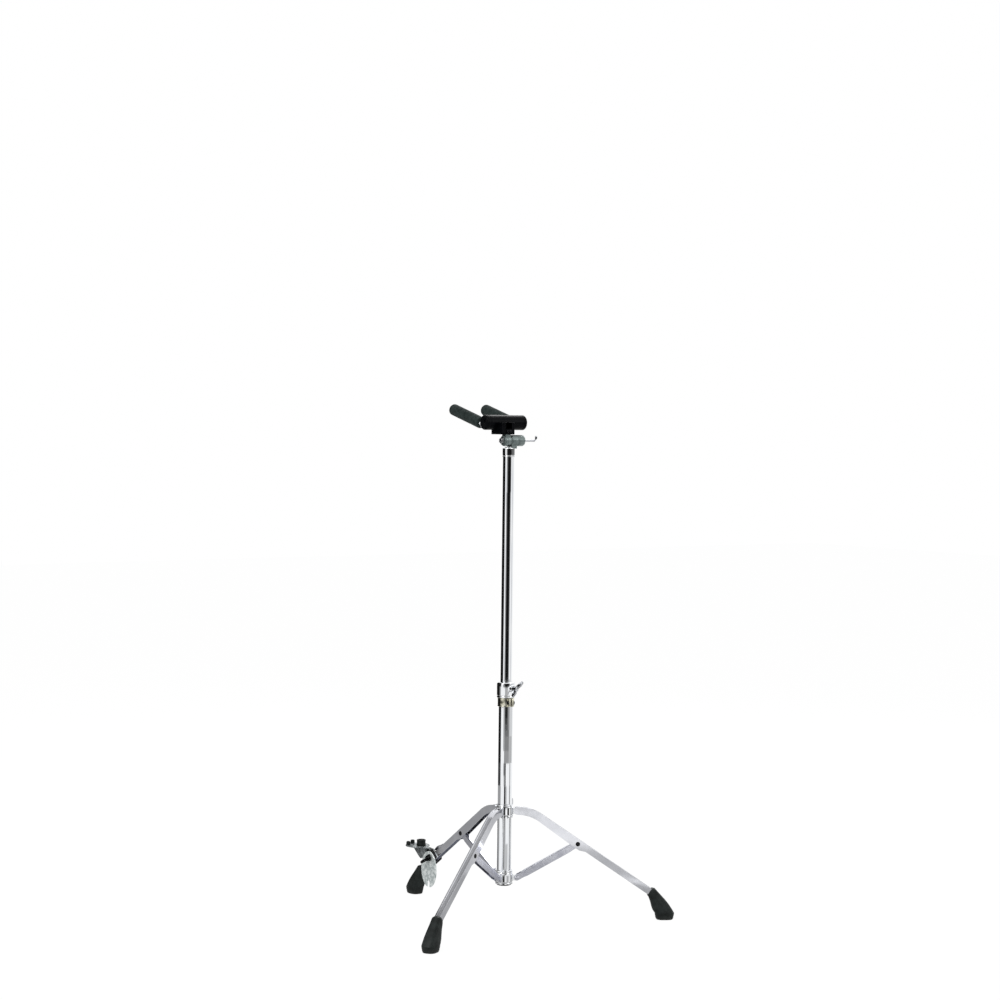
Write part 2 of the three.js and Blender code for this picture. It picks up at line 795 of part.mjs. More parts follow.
function buildYokeHub(screwWays) {
  const hub = alongX(turned([
    [0, toothedFace + tilter.chamfer / 2], [tilter.hubRadius, toothedFace + tilter.chamfer / 2],
    [tilter.hubRadius, tilter.nearReach - tilter.chamfer],
    [tilter.hubRadius - tilter.chamfer, tilter.nearReach], [0, tilter.nearReach],
  ]));
  const teeth = toothRing(-toothedFace, tilter.toothHeight).rotateZ(Math.PI);
  const upright = block(
    tongue.middle - yoke.tongueThickness / 2, tongue.middle + yoke.tongueThickness / 2,
    tongue.front, tongue.back,
    0, yoke.tongueTop,
  );
  const bore = alongX(bar(tilter.boreRadius, -overrun, tilter.nearReach + overrun));
  return cut(join(hub, teeth, upright), bore, ...screwWays);
}

function buildYoke() {
  const head = new THREE.Group();
  head.position.z = tiltHeight;
  stand.add(head);

  const screwX = [-1, 1].map((side) => tongue.middle + (side * yoke.screwSpacing) / 2);
  const screwWays = screwX.map((x) => {
    const way = bar(yoke.screwRadius + gap, -yoke.screwDepth, yoke.saddleBack + overrun);
    return alongY(way).translate(x, 0, yoke.screwRise);
  });
  named('yoke_hub', buildYokeHub(screwWays), 'satin', head);

  const crossbar = alongX(bar(yoke.barRadius, -yoke.barHalf, yoke.barHalf, tubeSides));
  crossbar.translate(0, -yoke.barForward, yoke.barRise);
  const saddle = block(
    -yoke.saddleFar, yoke.saddleNear,
    -yoke.saddleFront, yoke.saddleBack,
    yoke.saddleFloor, yoke.barRise,
  );
  const slot = block(
    tongue.middle - yoke.tongueThickness / 2 - gap, tongue.middle + yoke.tongueThickness / 2 + gap,
    tongue.front - gap, tongue.back + gap,
    yoke.saddleFloor - overrun, yoke.tongueTop + gap,
  );
  const sides = { near: 1, far: -1 };
  const armWays = Object.values(sides).map((side) => (
    placeArm(bar(yoke.rodRadius + gap, yoke.rodStart - gap, yoke.padEnd), side)
  ));
  named('cross_block', cut(join(crossbar, saddle), slot, ...armWays, ...screwWays), 'black', head);

  screwX.forEach((x, i) => {
    const tip = yoke.saddleBack + gap;
    const screw = turned([
      [0, -yoke.screwDepth + gap], [yoke.screwRadius, -yoke.screwDepth + gap], [yoke.screwRadius, tip],
      [yoke.screwHead, tip], [yoke.screwHead, tip + yoke.screwHeadHeight / 2],
      [yoke.screwRadius, tip + yoke.screwHeadHeight], [0, tip + yoke.screwHeadHeight],
    ], smallSides);
    named(`cross_screw_${i + 1}`, alongY(screw).translate(x, 0, yoke.screwRise), 'steel', head);
  });

  for (const [label, side] of Object.entries(sides)) {
    const start = yoke.barHalf + gap;
    const cap = turned([
      [0, start], [yoke.barRadius, start], [yoke.barRadius, start + yoke.capLength - yoke.capRound],
      [yoke.barRadius - yoke.capRound, start + yoke.capLength], [0, start + yoke.capLength],
    ]);
    const place = alongX(cap).translate(0, -yoke.barForward, yoke.barRise);
    named(`cross_cap_${label}`, side > 0 ? place : mirrored(place), 'black', head);
    const rod = bar(yoke.rodRadius, yoke.rodStart, yoke.rodEnd);
    named(`arm_rod_${label}`, placeArm(rod, side), 'chrome', head);
    const nut = hexNut(yoke.nutRadius, yoke.rodRadius + gap, yoke.nutStart, yoke.nutStart + yoke.nutLength);
    named(`arm_nut_${label}`, placeArm(nut, side), 'chrome', head);
    named(`arm_pad_${label}`, placeArm(padSolid(), side), 'foam', head);
  }
}

function mirrored(geometry) {
  return toGeometry(toSolid(geometry.scale(-1, 1, 1)));
}

// Turn something built along Z into the line of an arm on the near (+1) or far (-1) side.
function placeArm(geometry, side) {
  const turn = Math.PI / 2 - yoke.armTilt;
  return geometry.rotateX(turn).translate(
    (side * yoke.armSpacing) / 2, -yoke.barForward, yoke.barRise - yoke.armDrop,
  );
}

function padSolid() {
  const end = yoke.padEnd;
  const corner = yoke.padRadius - yoke.padRound;
  const rounding = Array.from({ length: arcSteps + 1 }, (_, i) => {
    const turn = (Math.PI / 2) * (i / arcSteps);
    return [corner + yoke.padRound * Math.cos(turn), end - yoke.padRound + yoke.padRound * Math.sin(turn)];
  });
  const boreEnd = yoke.padStart + yoke.padBore;
  const bore = yoke.rodRadius + gap;
  return turned([
    [0, boreEnd], [bore, boreEnd], [bore, yoke.padStart],
    [yoke.padRadius, yoke.padStart], ...rounding, [0, end],
  ], padSides);
}

// Endpin rest, built on the leg's straight run: x down the leg, z out of its web.

function buildRest() {
  const frame = new THREE.Group();
  const spoke = new THREE.Group();
  spoke.rotation.z = legAngles.a;
  const seat = onLeg(leg.reach - rest.setback, leg.pivotInset);
  frame.position.set(seat.x, 0, seat.y);
  frame.rotation.y = slope;
  spoke.add(frame);
  stand.add(spoke);

  const inner = leg.width / 2 + gap;
  const outer = inner + rest.saddleWall;
  const half = rest.saddleLength / 2;
  const saddleTop = gap + rest.saddleWall;
  const saddleLow = -leg.footDepth - rest.saddleDrop;
  const shell = block(-half, half, -outer, outer, saddleLow, saddleTop);
  const channel = block(-half - overrun, half + overrun, -inner, inner, saddleLow - overrun, gap);
  const lugHeight = saddleTop + rest.lugRise;
  const lugFoot = block(
    -rest.lugRadius, rest.lugRadius,
    -rest.lugWidth / 2, rest.lugWidth / 2,
    gap + rest.saddleWall / 2, lugHeight,
  );
  const lug = join(lugFoot, crossBar(rest.lugRadius, rest.lugWidth, 0, lugHeight));
  const boltX = -rest.boltSetback;
  const boltZ = -leg.footDepth / 2;
  const boltWay = alongY(bar(wing.shaftRadius + gap, 0, outer + overrun)).translate(boltX, 0, boltZ);
  const pinWay = crossBar(pin.radius + gap, rest.lugWidth + overrun, 0, lugHeight);
  named('rest_saddle', cut(join(shell, lug), channel, boltWay, pinWay), 'black', frame);

  buildCheek(frame, outer, boltX, boltZ);
  buildTray(frame, lugHeight);

  const hubStart = outer + gap + rest.cheekThickness + gap;
  const bolt = wingBolt(hubStart - inner).rotateZ(Math.PI / 2);
  named('rest_wing_bolt', bolt.translate(boltX, inner, boltZ), 'black', frame);

  const strap = strapShape(-half - gap, gap);
  named('rest_strap', sidePlate(strap, rest.strapWidth), 'steel', frame);
}

// A bent strap from the saddle back up the leg's web.
function strapShape(start, low) {
  const third = rest.strapLength / 3;
  const centre = [
    [start, rest.strapArch - rest.strapThickness],
    [start - third, rest.strapArch],
    [start - 2 * third, rest.strapArch / 2],
    [start - rest.strapLength, 0],
  ];
  const upper = centre.map(([x, z]) => [x, low + z + rest.strapThickness]);
  const lower = centre.map(([x, z]) => [x, low + z]).reverse();
  return polygon([...upper, ...lower]);
}

// The oval side plate, upright on its own side of the leg.
function buildCheek(frame, outer, boltX, boltZ) {
  const upright = (x, z) => {
    const [c, s] = [Math.cos(slope), Math.sin(slope)];
    return [boltX + x * c - z * s, boltZ + x * s + z * c];
  };
  const oval = Array.from({ length: tubeSides }, (_, i) => {
    const turn = (2 * Math.PI * i) / tubeSides;
    const x = rest.cheekForward + rest.cheekHalfWidth * Math.cos(turn);
    return upright(x, -rest.cheekDrop + rest.cheekHalfHeight * Math.sin(turn));
  });
  const low = -rest.cheekDrop - rest.cheekHalfHeight;
  const notch = polygon([
    upright(rest.cheekForward - rest.notchWidth / 2, low - overrun),
    upright(rest.cheekForward + rest.notchWidth / 2, low - overrun),
    upright(rest.cheekForward + rest.notchWidth / 2, low + rest.notchDepth),
    upright(rest.cheekForward - rest.notchWidth / 2, low + rest.notchDepth),
  ]);
  const middle = outer + gap + rest.cheekThickness / 2;
  const plate = sidePlate(polygon(oval), rest.cheekThickness).translate(0, middle, 0);
  const opening = sidePlate(notch, rest.cheekThickness + overrun).translate(0, middle, 0);
  const way = crossBar(wing.shaftRadius + gap, rest.cheekThickness + overrun, boltX, boltZ);
  way.translate(0, middle, 0);
  named('rest_cheek', cut(plate, opening, way), 'satin', frame);
}

// The tray is level when the legs are open, so it is built level and turned back.
function buildTray(frame, lugHeight) {
  const level = new THREE.Group();
  level.position.z = lugHeight;
  level.rotation.y = -slope;
  frame.add(level);

  const top = rest.trayRise + rest.trayThickness;
  const disc = bar(rest.trayRadius, rest.trayRise, top, tubeSides).translate(rest.trayForward, 0, 0);
  const armStart = rest.lugRadius + gap;
  const arm = block(armStart, rest.trayForward, -rest.armWidth / 2, rest.armWidth / 2, rest.trayRise, top);
  const edge = rest.trayForward + rest.trayRadius - rest.studInset;
  const gusset = sidePlate(polygon([
    [armStart, top - rest.trayThickness / 2],
    [armStart + rest.lugRadius, -rest.lugRadius],
    [rest.gussetForward, -rest.gussetDrop],
    [edge, rest.trayRise + rest.trayThickness / 2],
  ]), rest.gussetWidth);
  const forkInner = rest.lugWidth / 2 + gap;
  const forkOuter = forkInner + rest.forkWall;
  const fork = [-1, 1].map((side) => {
    const low = Math.min(side * forkInner, side * forkOuter);
    const cheek = block(0, armStart + rest.lugRadius, low, low + rest.forkWall, -rest.lugRadius, top);
    const round = crossBar(rest.lugRadius, rest.forkWall, 0, 0).translate(0, low + rest.forkWall / 2, 0);
    return join(cheek, round);
  });
  const pinWay = crossBar(pin.radius + gap, 2 * forkOuter + overrun, 0, 0);
  named('rest_tray', cut(join(disc, arm, gusset, ...fork), pinWay), 'satin', level);

  const half = forkOuter + gap;
  const shaft = crossBar(pin.radius, 2 * half + rest.pinHeadHeight, 0, 0);
  const heads = [-1, 1].map((side) => {
    const head = crossBar(rest.pinHeadRadius, rest.pinHeadHeight, 0, 0);
    return head.translate(0, side * (half + rest.pinHeadHeight / 2), 0);
  });
  named('rest_hinge_pin', join(shaft, ...heads), 'black', level);

  const floor = top + gap;
  const cupTop = floor + rest.cupHeight;
  const cup = turned([
    [0, floor], [rest.cupRadius, floor], [rest.cupRadius - rest.trayThickness / 2, cupTop],
    [rest.cupBore, cupTop], [rest.cupBore, cupTop - rest.cupDepth], [0, cupTop - rest.cupDepth],
  ], padSides);
  named('rest_cup', cup.translate(rest.trayForward - rest.cupSetback, 0, 0), 'rubber', level);

  for (let i = 0; i < rest.studCount; i += 1) {
    const turn = (i - (rest.studCount - 1) / 2) * rest.studAngle;
    const reach = rest.trayRadius - rest.studInset;
    const stud = turned([
      [0, floor], [rest.studRadius, floor], [rest.studRadius, floor + rest.studTopShare * rest.studHeight],
      [rest.studTopShare * rest.studRadius, floor + rest.studHeight], [0, floor + rest.studHeight],
    ], smallSides);
    stud.translate(rest.trayForward + reach * Math.cos(turn), reach * Math.sin(turn), 0);
    named(`rest_stud_${i + 1}`, stud, 'rubber', level);
  }
}

buildPost();
buildCollars();
buildLegs();
buildClamp();
buildTilter();
buildYoke();
buildRest();

// The origin is on the floor, at the middle of the stand's bounding box.
stand.updateMatrixWorld(true);
const centre = new THREE.Box3().setFromObject(stand, true).getCenter(new THREE.Vector3());
stand.position.set(-centre.x, -centre.y, 0);
stand.updateMatrixWorld(true);

export default stand;
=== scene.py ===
import json
from math import asin, atan, atan2, copysign, cos, degrees, pi, radians, sin, sqrt, tan
import bmesh
import bpy
from bmesh import ops
from mathutils import Matrix, Vector


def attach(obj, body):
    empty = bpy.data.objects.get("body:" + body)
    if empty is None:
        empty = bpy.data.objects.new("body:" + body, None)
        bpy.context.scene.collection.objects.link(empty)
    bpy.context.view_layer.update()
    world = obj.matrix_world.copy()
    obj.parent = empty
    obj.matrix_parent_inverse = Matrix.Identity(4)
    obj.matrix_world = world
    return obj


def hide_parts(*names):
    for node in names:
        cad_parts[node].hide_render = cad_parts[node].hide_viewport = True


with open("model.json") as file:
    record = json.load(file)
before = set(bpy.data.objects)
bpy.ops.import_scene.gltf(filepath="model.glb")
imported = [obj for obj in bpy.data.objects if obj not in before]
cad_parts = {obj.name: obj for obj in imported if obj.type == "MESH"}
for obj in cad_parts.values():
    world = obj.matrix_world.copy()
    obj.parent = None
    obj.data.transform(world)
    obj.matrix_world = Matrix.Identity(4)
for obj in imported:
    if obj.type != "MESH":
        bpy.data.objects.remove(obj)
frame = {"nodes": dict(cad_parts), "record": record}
scene = bpy.context.scene
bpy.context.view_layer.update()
bodies = frame["record"]["behaviour"]["bodies"]
bodyOf = {node: body for body, members in bodies.items() for node in members}
print("frame loaded:", len(frame["nodes"]), "nodes")


def fill(tree, node, inputs):
    # each socket gets its value, or a link from an output or from a node's first output
    for key, value in inputs.items():
        if isinstance(value, bpy.types.Node):
            value = value.outputs[0]
        if isinstance(value, bpy.types.NodeSocket):
            tree.links.new(value, node.inputs[key])
        else:
            node.inputs[key].default_value = value


def addNode(tree, kind, inputs, **settings):
    node = tree.nodes.new("ShaderNode" + kind)
    for key, value in settings.items():
        setattr(node, key, value)
    fill(tree, node, inputs)
    return node


def finishMaterial(name, look):
    # one recipe for all finishes: two tones, uneven gloss and fine relief, all on Object coordinates
    material = bpy.data.materials.new(name)
    material.use_nodes = True
    tree = material.node_tree
    place = addNode(tree, "TexCoord", {}).outputs["Object"]
    stretched = addNode(tree, "Mapping", {"Vector": place, "Scale": look.get("stretch", (1, 1, 1))})

    dark, light, scale = look["tones"]
    tone = addNode(tree, "TexNoise", {"Vector": place, "Scale": scale, "Detail": 4, "Roughness": 0.6})
    ramp = addNode(tree, "ValToRGB", {"Fac": tone})
    for stop, share, colour in zip(ramp.color_ramp.elements, look.get("stops", (0.35, 0.65)), (dark, light)):
        stop.position = share
        stop.color = (*colour, 1)
    colour = ramp
    if "dust" in look:  # settles towards the floor
        dust, height, most = look["dust"]
        level = addNode(tree, "SeparateXYZ", {"Vector": place}).outputs["Z"]
        fall = addNode(tree, "MapRange", {"Value": level, "From Max": height, "To Min": most, "To Max": 0})
        speckle = addNode(tree, "TexNoise", {"Vector": place, "Scale": 220, "Detail": 3})
        amount = addNode(tree, "Math", {0: fall, 1: speckle}, operation="MULTIPLY")
        mix = addNode(tree, "Mix", {"Factor": amount, 6: ramp, 7: (*dust, 1)}, data_type="RGBA")
        colour = mix.outputs[2]

    smooth, rough, scale = look["gloss"]
    smear = addNode(tree, "TexNoise", {"Vector": stretched, "Scale": scale, "Detail": 5, "Roughness": 0.65})
    gloss = addNode(tree, "MapRange", {
        "Value": smear, "From Min": 0.3, "From Max": 0.7, "To Min": smooth, "To Max": rough})

    scale, strength, depth = look["relief"]
    if look.get("cells"):
        grain = addNode(tree, "TexVoronoi", {"Vector": stretched, "Scale": scale})
    else:
        grain = addNode(tree, "TexNoise", {"Vector": stretched, "Scale": scale, "Detail": 3})
    bump = addNode(tree, "Bump", {"Height": grain, "Strength": strength, "Distance": depth})
    fill(tree, tree.nodes["Principled BSDF"], {
        "Base Color": colour, "Roughness": gloss, "Normal": bump, "Metallic": look.get("metallic", 0),
        "Specular IOR Level": look.get("specular", 0.5), "Sheen Weight": look.get("sheen", 0)})
    return material


# tones: dark, light and the scale of their noise; gloss: roughness from, to and scale; relief: scale, strength, depth
finishes = {
    "chrome": dict(
        slot="chrome", metallic=1, tones=((0.82, 0.84, 0.87), (0.91, 0.92, 0.93), 9),
        gloss=(0.02, 0.06, 30), relief=(60, 0.03, 0.0002), stretch=(1, 1, 0.08)),
    "channel": dict(
        slot="chrome", metallic=1, tones=((0.66, 0.67, 0.71), (0.8, 0.81, 0.85), 14),
        gloss=(0.05, 0.14, 40), relief=(120, 0.05, 0.0002)),
    "zinc": dict(
        slot="steel", metallic=1, tones=((0.58, 0.59, 0.66), (0.76, 0.77, 0.83), 30),
        gloss=(0.14, 0.28, 60), relief=(420, 0.12, 0.0002)),
    "nickel": dict(
        slot="chrome", metallic=1, tones=((0.38, 0.39, 0.41), (0.56, 0.57, 0.59), 50),
        gloss=(0.08, 0.18, 80), relief=(300, 0.08, 0.0002)),
    "satin": dict(
        slot="satin", metallic=0.7, tones=((0.125, 0.155, 0.152), (0.215, 0.255, 0.25), 70),
        gloss=(0.28, 0.46, 120), relief=(900, 0.35, 0.0003)),
    "mottled": dict(
        slot="satin", metallic=0.4, tones=((0.5, 0.56, 0.56), (0.93, 0.98, 0.97), 130), stops=(0.4, 0.6),
        gloss=(0.26, 0.5, 150), relief=(420, 0.45, 0.0006)),
    "mottledDark": dict(
        slot="satin", metallic=0.7, tones=((0.14, 0.16, 0.165), (0.44, 0.47, 0.48), 130), stops=(0.4, 0.6),
        gloss=(0.26, 0.5, 150), relief=(420, 0.4, 0.0005)),
    "blackPlastic": dict(
        slot="black_plastic", specular=0.05, tones=((0.001, 0.0012, 0.0018), (0.0028, 0.0032, 0.0042), 40),
        gloss=(0.26, 0.42, 80), relief=(1400, 0.25, 0.0002)),
    "blackMetal": dict(
        slot="black_metal", specular=0.2, tones=((0.003, 0.003, 0.0035), (0.009, 0.009, 0.01), 60),
        gloss=(0.22, 0.4, 90), relief=(700, 0.2, 0.0002)),
    "oxide": dict(
        slot="steel", metallic=1, tones=((0.012, 0.012, 0.014), (0.03, 0.03, 0.033), 60),
        gloss=(0.25, 0.4, 90), relief=(500, 0.15, 0.0002)),
    "rubber": dict(
        slot="rubber", specular=0.2, sheen=0.02, tones=((0.006, 0.008, 0.0075), (0.017, 0.022, 0.021), 50),
        gloss=(0.4, 0.6, 60), relief=(1100, 0.3, 0.0003),
        dust=((0.12, 0.115, 0.11), 0.012, 0.25)),  # its tone, height and greatest amount
    "foam": dict(
        slot="foam", specular=0.1, sheen=0.05, tones=((0.01, 0.017, 0.016), (0.03, 0.042, 0.04), 90),
        gloss=(0.75, 0.95, 120), relief=(1300, 0.5, 0.0006), cells=True),
    "nylon": dict(
        slot="nylon", tones=((0.66, 0.64, 0.58), (0.76, 0.74, 0.69), 40),
        gloss=(0.4, 0.55, 60), relief=(500, 0.1, 0.0002)),
    "brass": dict(
        slot="brass", metallic=1, tones=((0.5, 0.48, 0.37), (0.76, 0.74, 0.62), 60),
        gloss=(0.05, 0.14, 60), relief=(400, 0.06, 0.0002)),
}
materials = {name: finishMaterial(name, look) for name, look in finishes.items()}
print("finishes made:", len(materials))


# Shapes are drawn in millimetres and reach the scene's metres when they are placed.
def facedOut(bm):
    ops.recalc_face_normals(bm, faces=bm.faces)
    return bm


def lathe(outline, sides=96):
    # an outline of (radius, height) pairs, spun about Z; it closes on itself unless it starts on the axis
    bm = bmesh.new()
    points = [bm.verts.new((radius, 0, height)) for radius, height in outline]
    edges = [bm.edges.new(pair) for pair in zip(points, points[1:] + points[:int(outline[0][0] > 0)])]
    ops.spin(bm, geom=points + edges, cent=(0, 0, 0), axis=(0, 0, 1), dvec=(0, 0, 0),
             angle=2 * pi, steps=sides, use_merge=True)
    ops.remove_doubles(bm, verts=bm.verts, dist=0.0005)
    return facedOut(bm)


def plate(outline, thickness):
    # an outline in X and Z, given its thickness along Y
    bm = bmesh.new()
    face = bm.faces.new([bm.verts.new((x, -thickness / 2, z)) for x, z in outline])
    raised = ops.extrude_face_region(bm, geom=[face])
    lifted = [v for v in raised["geom"] if isinstance(v, bmesh.types.BMVert)]
    ops.translate(bm, vec=(0, thickness, 0), verts=lifted)
    return facedOut(bm)


def brick(low, high):
    bm = bmesh.new()
    ops.create_cube(bm, size=1)
    ops.scale(bm, vec=[b - a for a, b in zip(low, high)], verts=bm.verts)
    ops.translate(bm, vec=[(a + b) / 2 for a, b in zip(low, high)], verts=bm.verts)
    return bm


def ringOf(bm, radius, count, placed):
    # the edges of a circle whose points are put where placed says
    ring = ops.create_circle(bm, cap_ends=False, radius=radius, segments=count)["verts"]
    for number, vert in enumerate(ring):
        vert.co = placed(number, vert.co.x, vert.co.y)
    return list({edge for vert in ring for edge in vert.link_edges})


def skin(bm, loops):
    for upper, lower in zip(loops, loops[1:]):
        ops.bridge_loops(bm, edges=upper + lower)


def edgesWhere(bm, test):
    # edges whose two ends both pass the test
    return [edge for edge in bm.edges if all(test(vert.co) for vert in edge.verts)]


def roundOff(bm, geom, width, segments, affect="EDGES", clamp=False):
    ops.bevel(bm, geom=geom, offset=width, offset_type="OFFSET", segments=segments, profile=0.5, affect=affect,
              material=-1, clamp_overlap=clamp)


def beside(radius, height, *steps):
    # outline points, as small steps from one radius and one height
    return [(radius + outward, height + up) for outward, up in steps]


def bothEnds(outline):
    # an outline up to its middle, and its mirror image
    return outline + [(radius, -height) for radius, height in outline[::-1]]


def arc(x, z, radius, start, end, steps=12):
    # points on a circle, from one angle in degrees to another
    turns = [radians(start + (end - start) * i / steps) for i in range(steps + 1)]
    return [(x + radius * cos(turn), z + radius * sin(turn)) for turn in turns]


def curve(start, pull, end, steps=10):
    shares = [i / steps for i in range(steps + 1)]
    return [tuple((1 - t) ** 2 * a + 2 * t * (1 - t) * b + t * t * c for a, b, c in zip(start, pull, end))
            for t in shares]


def take(sizes, names):
    return [sizes[name] for name in names.split()]


def shift(x, y, z):
    return Matrix.Translation((x, y, z))


def spinBy(angle, axis):
    return Matrix.Rotation(radians(angle), 4, axis)


def moved(bm, matrix):
    ops.transform(bm, matrix=matrix, verts=bm.verts)
    return bm


def joined(*shapes):
    # several closed shells in one mesh
    whole = bmesh.new()
    for bm in shapes:
        mesh = bpy.data.meshes.new("shell")
        bm.to_mesh(mesh)
        bm.free()
        whole.from_mesh(mesh)
        bpy.data.meshes.remove(mesh)
    return whole


def inScene(name, data):
    thing = bpy.data.objects.new(name, data)
    scene.collection.objects.link(thing)
    return thing


def meshOf(name, bm, material):
    mesh = bpy.data.meshes.new(name + "Mesh")
    bm.to_mesh(mesh)
    bm.free()
    mesh.materials.append(material)
    return mesh


creaseAngle = radians(32)  # what bends more stays sharp and is rounded


def addPiece(bm, node, finish, place, edge=0.3, steps=2, name=None):
    # edge is the rounding in millimetres; the piece stands for its CAD node
    moved(bm, Matrix.Scale(0.001, 4) @ place)
    for face in bm.faces:
        face.smooth = True
    for crease in bm.edges:
        crease.smooth = len(crease.link_faces) == 2 and crease.calc_face_angle(pi) < creaseAngle
    piece = inScene((name or node) + "_piece", meshOf(name or node, bm, materials[finish]))
    if edge:
        rounding = piece.modifiers.new("rounding", "BEVEL")
        rounding.width = edge / 1000
        rounding.segments = steps
        rounding.limit_method = "ANGLE"
        rounding.angle_limit = creaseAngle
    weighing = piece.modifiers.new("weighing", "WEIGHTED_NORMAL")  # keeps flat faces flat beside small roundings
    weighing.keep_sharp = True
    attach(piece, bodyOf[node])
    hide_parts(node)
    return piece


upToX = spinBy(90, "Y")      # what is drawn along Z then runs along X
upToY = spinBy(-90, "X")     # or along Y

# The post: a lower tube with its plug, and the mast that slides in it.
post = dict(
    x=0, y=90.0778, lowerRadius=15.9, upperRadius=12.7, wall=1.5, lowerBase=80, lowerTop=504,
    mastBottom=354, mastTop=1032.7, rim=0.5)
onPost = shift(post["x"], post["y"], 0)
for node, radius, low, high in (("lower_tube", *take(post, "lowerRadius lowerBase lowerTop")),
                                ("upper_tube", *take(post, "upperRadius mastBottom mastTop"))):
    inner = radius - post["wall"]
    tube = lathe([(inner, low), (radius, low), (radius, high), (inner, high)], 128)
    addPiece(tube, node, "chrome", onPost, post["rim"])

plug = dict(lip=2, dome=0.9, gap=0.3, top=92, ribs=3, neck=0.9)
radius, bore = post["lowerRadius"], post["lowerRadius"] - post["wall"]
seat = post["lowerBase"] - plug["gap"]
lip, neck = seat - plug["lip"], bore - plug["neck"]
outline = [(0, lip), *beside(radius, lip, (-3, 0), (-0.5, plug["dome"])), (radius, seat - 0.4), (radius, seat),
           (neck, seat)]
for rib in range(plug["ribs"]):
    foot = seat + 2 + rib * 3
    outline += [(neck, foot), (bore - plug["gap"], foot + 0.5), (neck, foot + 1.6)]
outline += [(neck, plug["top"]), (0, plug["top"])]
addPiece(lathe(outline), "tube_plug", "blackPlastic", onPost, 0)

glide = dict(length=25, gap=0.3, groove=0.6)
low, high = post["mastBottom"], post["mastBottom"] + glide["length"]
inner, outer = post["upperRadius"] + glide["gap"], bore - glide["gap"]
addPiece(lathe([
    (inner, low), *beside(outer, low, (0, 0), (0, 8), (-glide["groove"], 8.6)),
    *beside(outer, high, (-glide["groove"], -8.6), (0, -8), (0, 0)), (inner, high),
], 72), "glide_bush", "nylon", onPost, 0.2)

splitBush = dict(low=450, top=516.7, step=504.3, outer=15.9)
low, top, step, wide = take(splitBush, "low top step outer")
addPiece(lathe([
    (inner, low), (outer, low), (outer, step), (wide, step), (wide, top), (inner, top),
], 72), "split_bush", "nylon", onPost, 0.2)
print("post made")

# Wing bolts: a threaded shaft, a waisted hub and two dished wings.
wing = dict(
    shaft=3, hub=6, hubLength=10, span=21, rise=13, thickness=4, tip=5, pitch=1.25,
    threadDepth=0.35, edge=1.3)


def wingBolt(reach):
    # its tip at x = 0, its hub from x = reach, its wings up and down
    shaft, hub, span, tip, pitch = take(wing, "shaft hub span tip pitch")
    outline = [(0, 0), (shaft - 0.8, 0), (shaft, 0.8)]
    for i in range(int((reach - 2) / pitch)):
        outline += beside(shaft, 1 + i * pitch, (0, 0), (-wing["threadDepth"], pitch / 2))
    end = reach + wing["hubLength"]
    outline += [(shaft, reach), *beside(hub, reach, (-0.6, 0), (0, 0.6), (-0.5, 4)),
                *beside(hub, end, (-0.2, -1.2), (-1.6, 0)), (0, end)]
    stem = moved(lathe(outline, 48), upToX)
    root = reach + tip / 2
    far = root + wing["rise"]
    blade = curve((root, 0), (root, span / 2), (far - tip, span))
    blade += curve((far - tip, span), (far, span + tip / 2), (far, span / 2))[1:]
    blade += curve((far, span / 2), (reach + wing["rise"], span / 4), (end - 1, 0))[1:]
    upper = plate(blade, wing["thickness"])
    return joined(stem, upper, moved(upper.copy(), spinBy(180, "X")))


def bossShape(sizes, rootSteps, endSteps):
    # a boss for a wing bolt, with small steps at its root and its end
    wide, root, reach, bore = take(sizes, "boss bossRoot bossReach bore")
    outline = [(bore, root), *beside(wide, root, *rootSteps), *beside(wide, reach, *endSteps), (bore, reach)]
    return moved(lathe(outline, 64), spinBy(sizes["boltTurn"], "Z") @ shift(0, 0, sizes["boltHeight"]) @ upToX)


def addBolt(sizes, node):
    place = onPost @ spinBy(sizes["boltTurn"], "Z") @ shift(sizes["inner"], 0, sizes["boltHeight"])
    place = place @ spinBy(sizes["wingTurn"] - 90, "X")
    addPiece(wingBolt(sizes["bossReach"] - post["lowerRadius"]), node, "nickel", place, wing["edge"], 4)


# Collars: turned rings with three ears for the legs or the stays, and a boss for the leg bolt.
collar = dict(
    inner=16.2, outer=18.9, hinge=28, ear=6.2, stayBase=81, stayHeight=30, stayEar=7, stayHinge=94,
    legBase=228, legHeight=28, legEar=10.2, legHinge=241, bead=0.55, boss=7, bossRoot=17.6,
    bossReach=25, bore=3.3, boltHeight=242, boltTurn=210, wingTurn=90)
legTurn = dict(a=-90, b=30, c=150)


def collarShape(base, height, earThickness, hinge):
    inner, outer, bead, ear = take(collar, "inner outer bead ear")
    top = base + height
    ring = lathe([
        (inner, base), (outer, base), *beside(outer, base, (0, 3.2), (-bead, 3.8), (-bead, 4.6), (0, 5.2)),
        *beside(outer, top, (0, -5.2), (-bead, -4.6), (-bead, -3.8), (0, -3.2)), (outer, top), (inner, top),
    ])
    ears = []
    for turn in legTurn.values():
        cheek = plate([(outer - 0.8, hinge - ear), *arc(collar["hinge"], hinge, ear, -90, 90, 20),
                       (outer - 0.8, hinge + ear)], earThickness)
        root = brick((outer - 0.9, -earThickness / 2 - 1, hinge - ear - 0.8),
                     (outer + 1.2, earThickness / 2 + 1, hinge + ear + 0.8))
        ears += [moved(cheek, spinBy(turn, "Z")), moved(root, spinBy(turn, "Z"))]
    return joined(ring, *ears)


body = collarShape(*take(collar, "stayBase stayHeight stayEar stayHinge"))
addPiece(body, "stay_collar", "chrome", onPost, 0.6, 3)
body = collarShape(*take(collar, "legBase legHeight legEar legHinge"))
boss = bossShape(collar, [(1.2, 0), (0, 2)], [(0, 0)])
addPiece(joined(body, boss), "leg_collar", "chrome", onPost, 0.6, 3)
addBolt(collar, "leg_wing_bolt")
print("collars made")

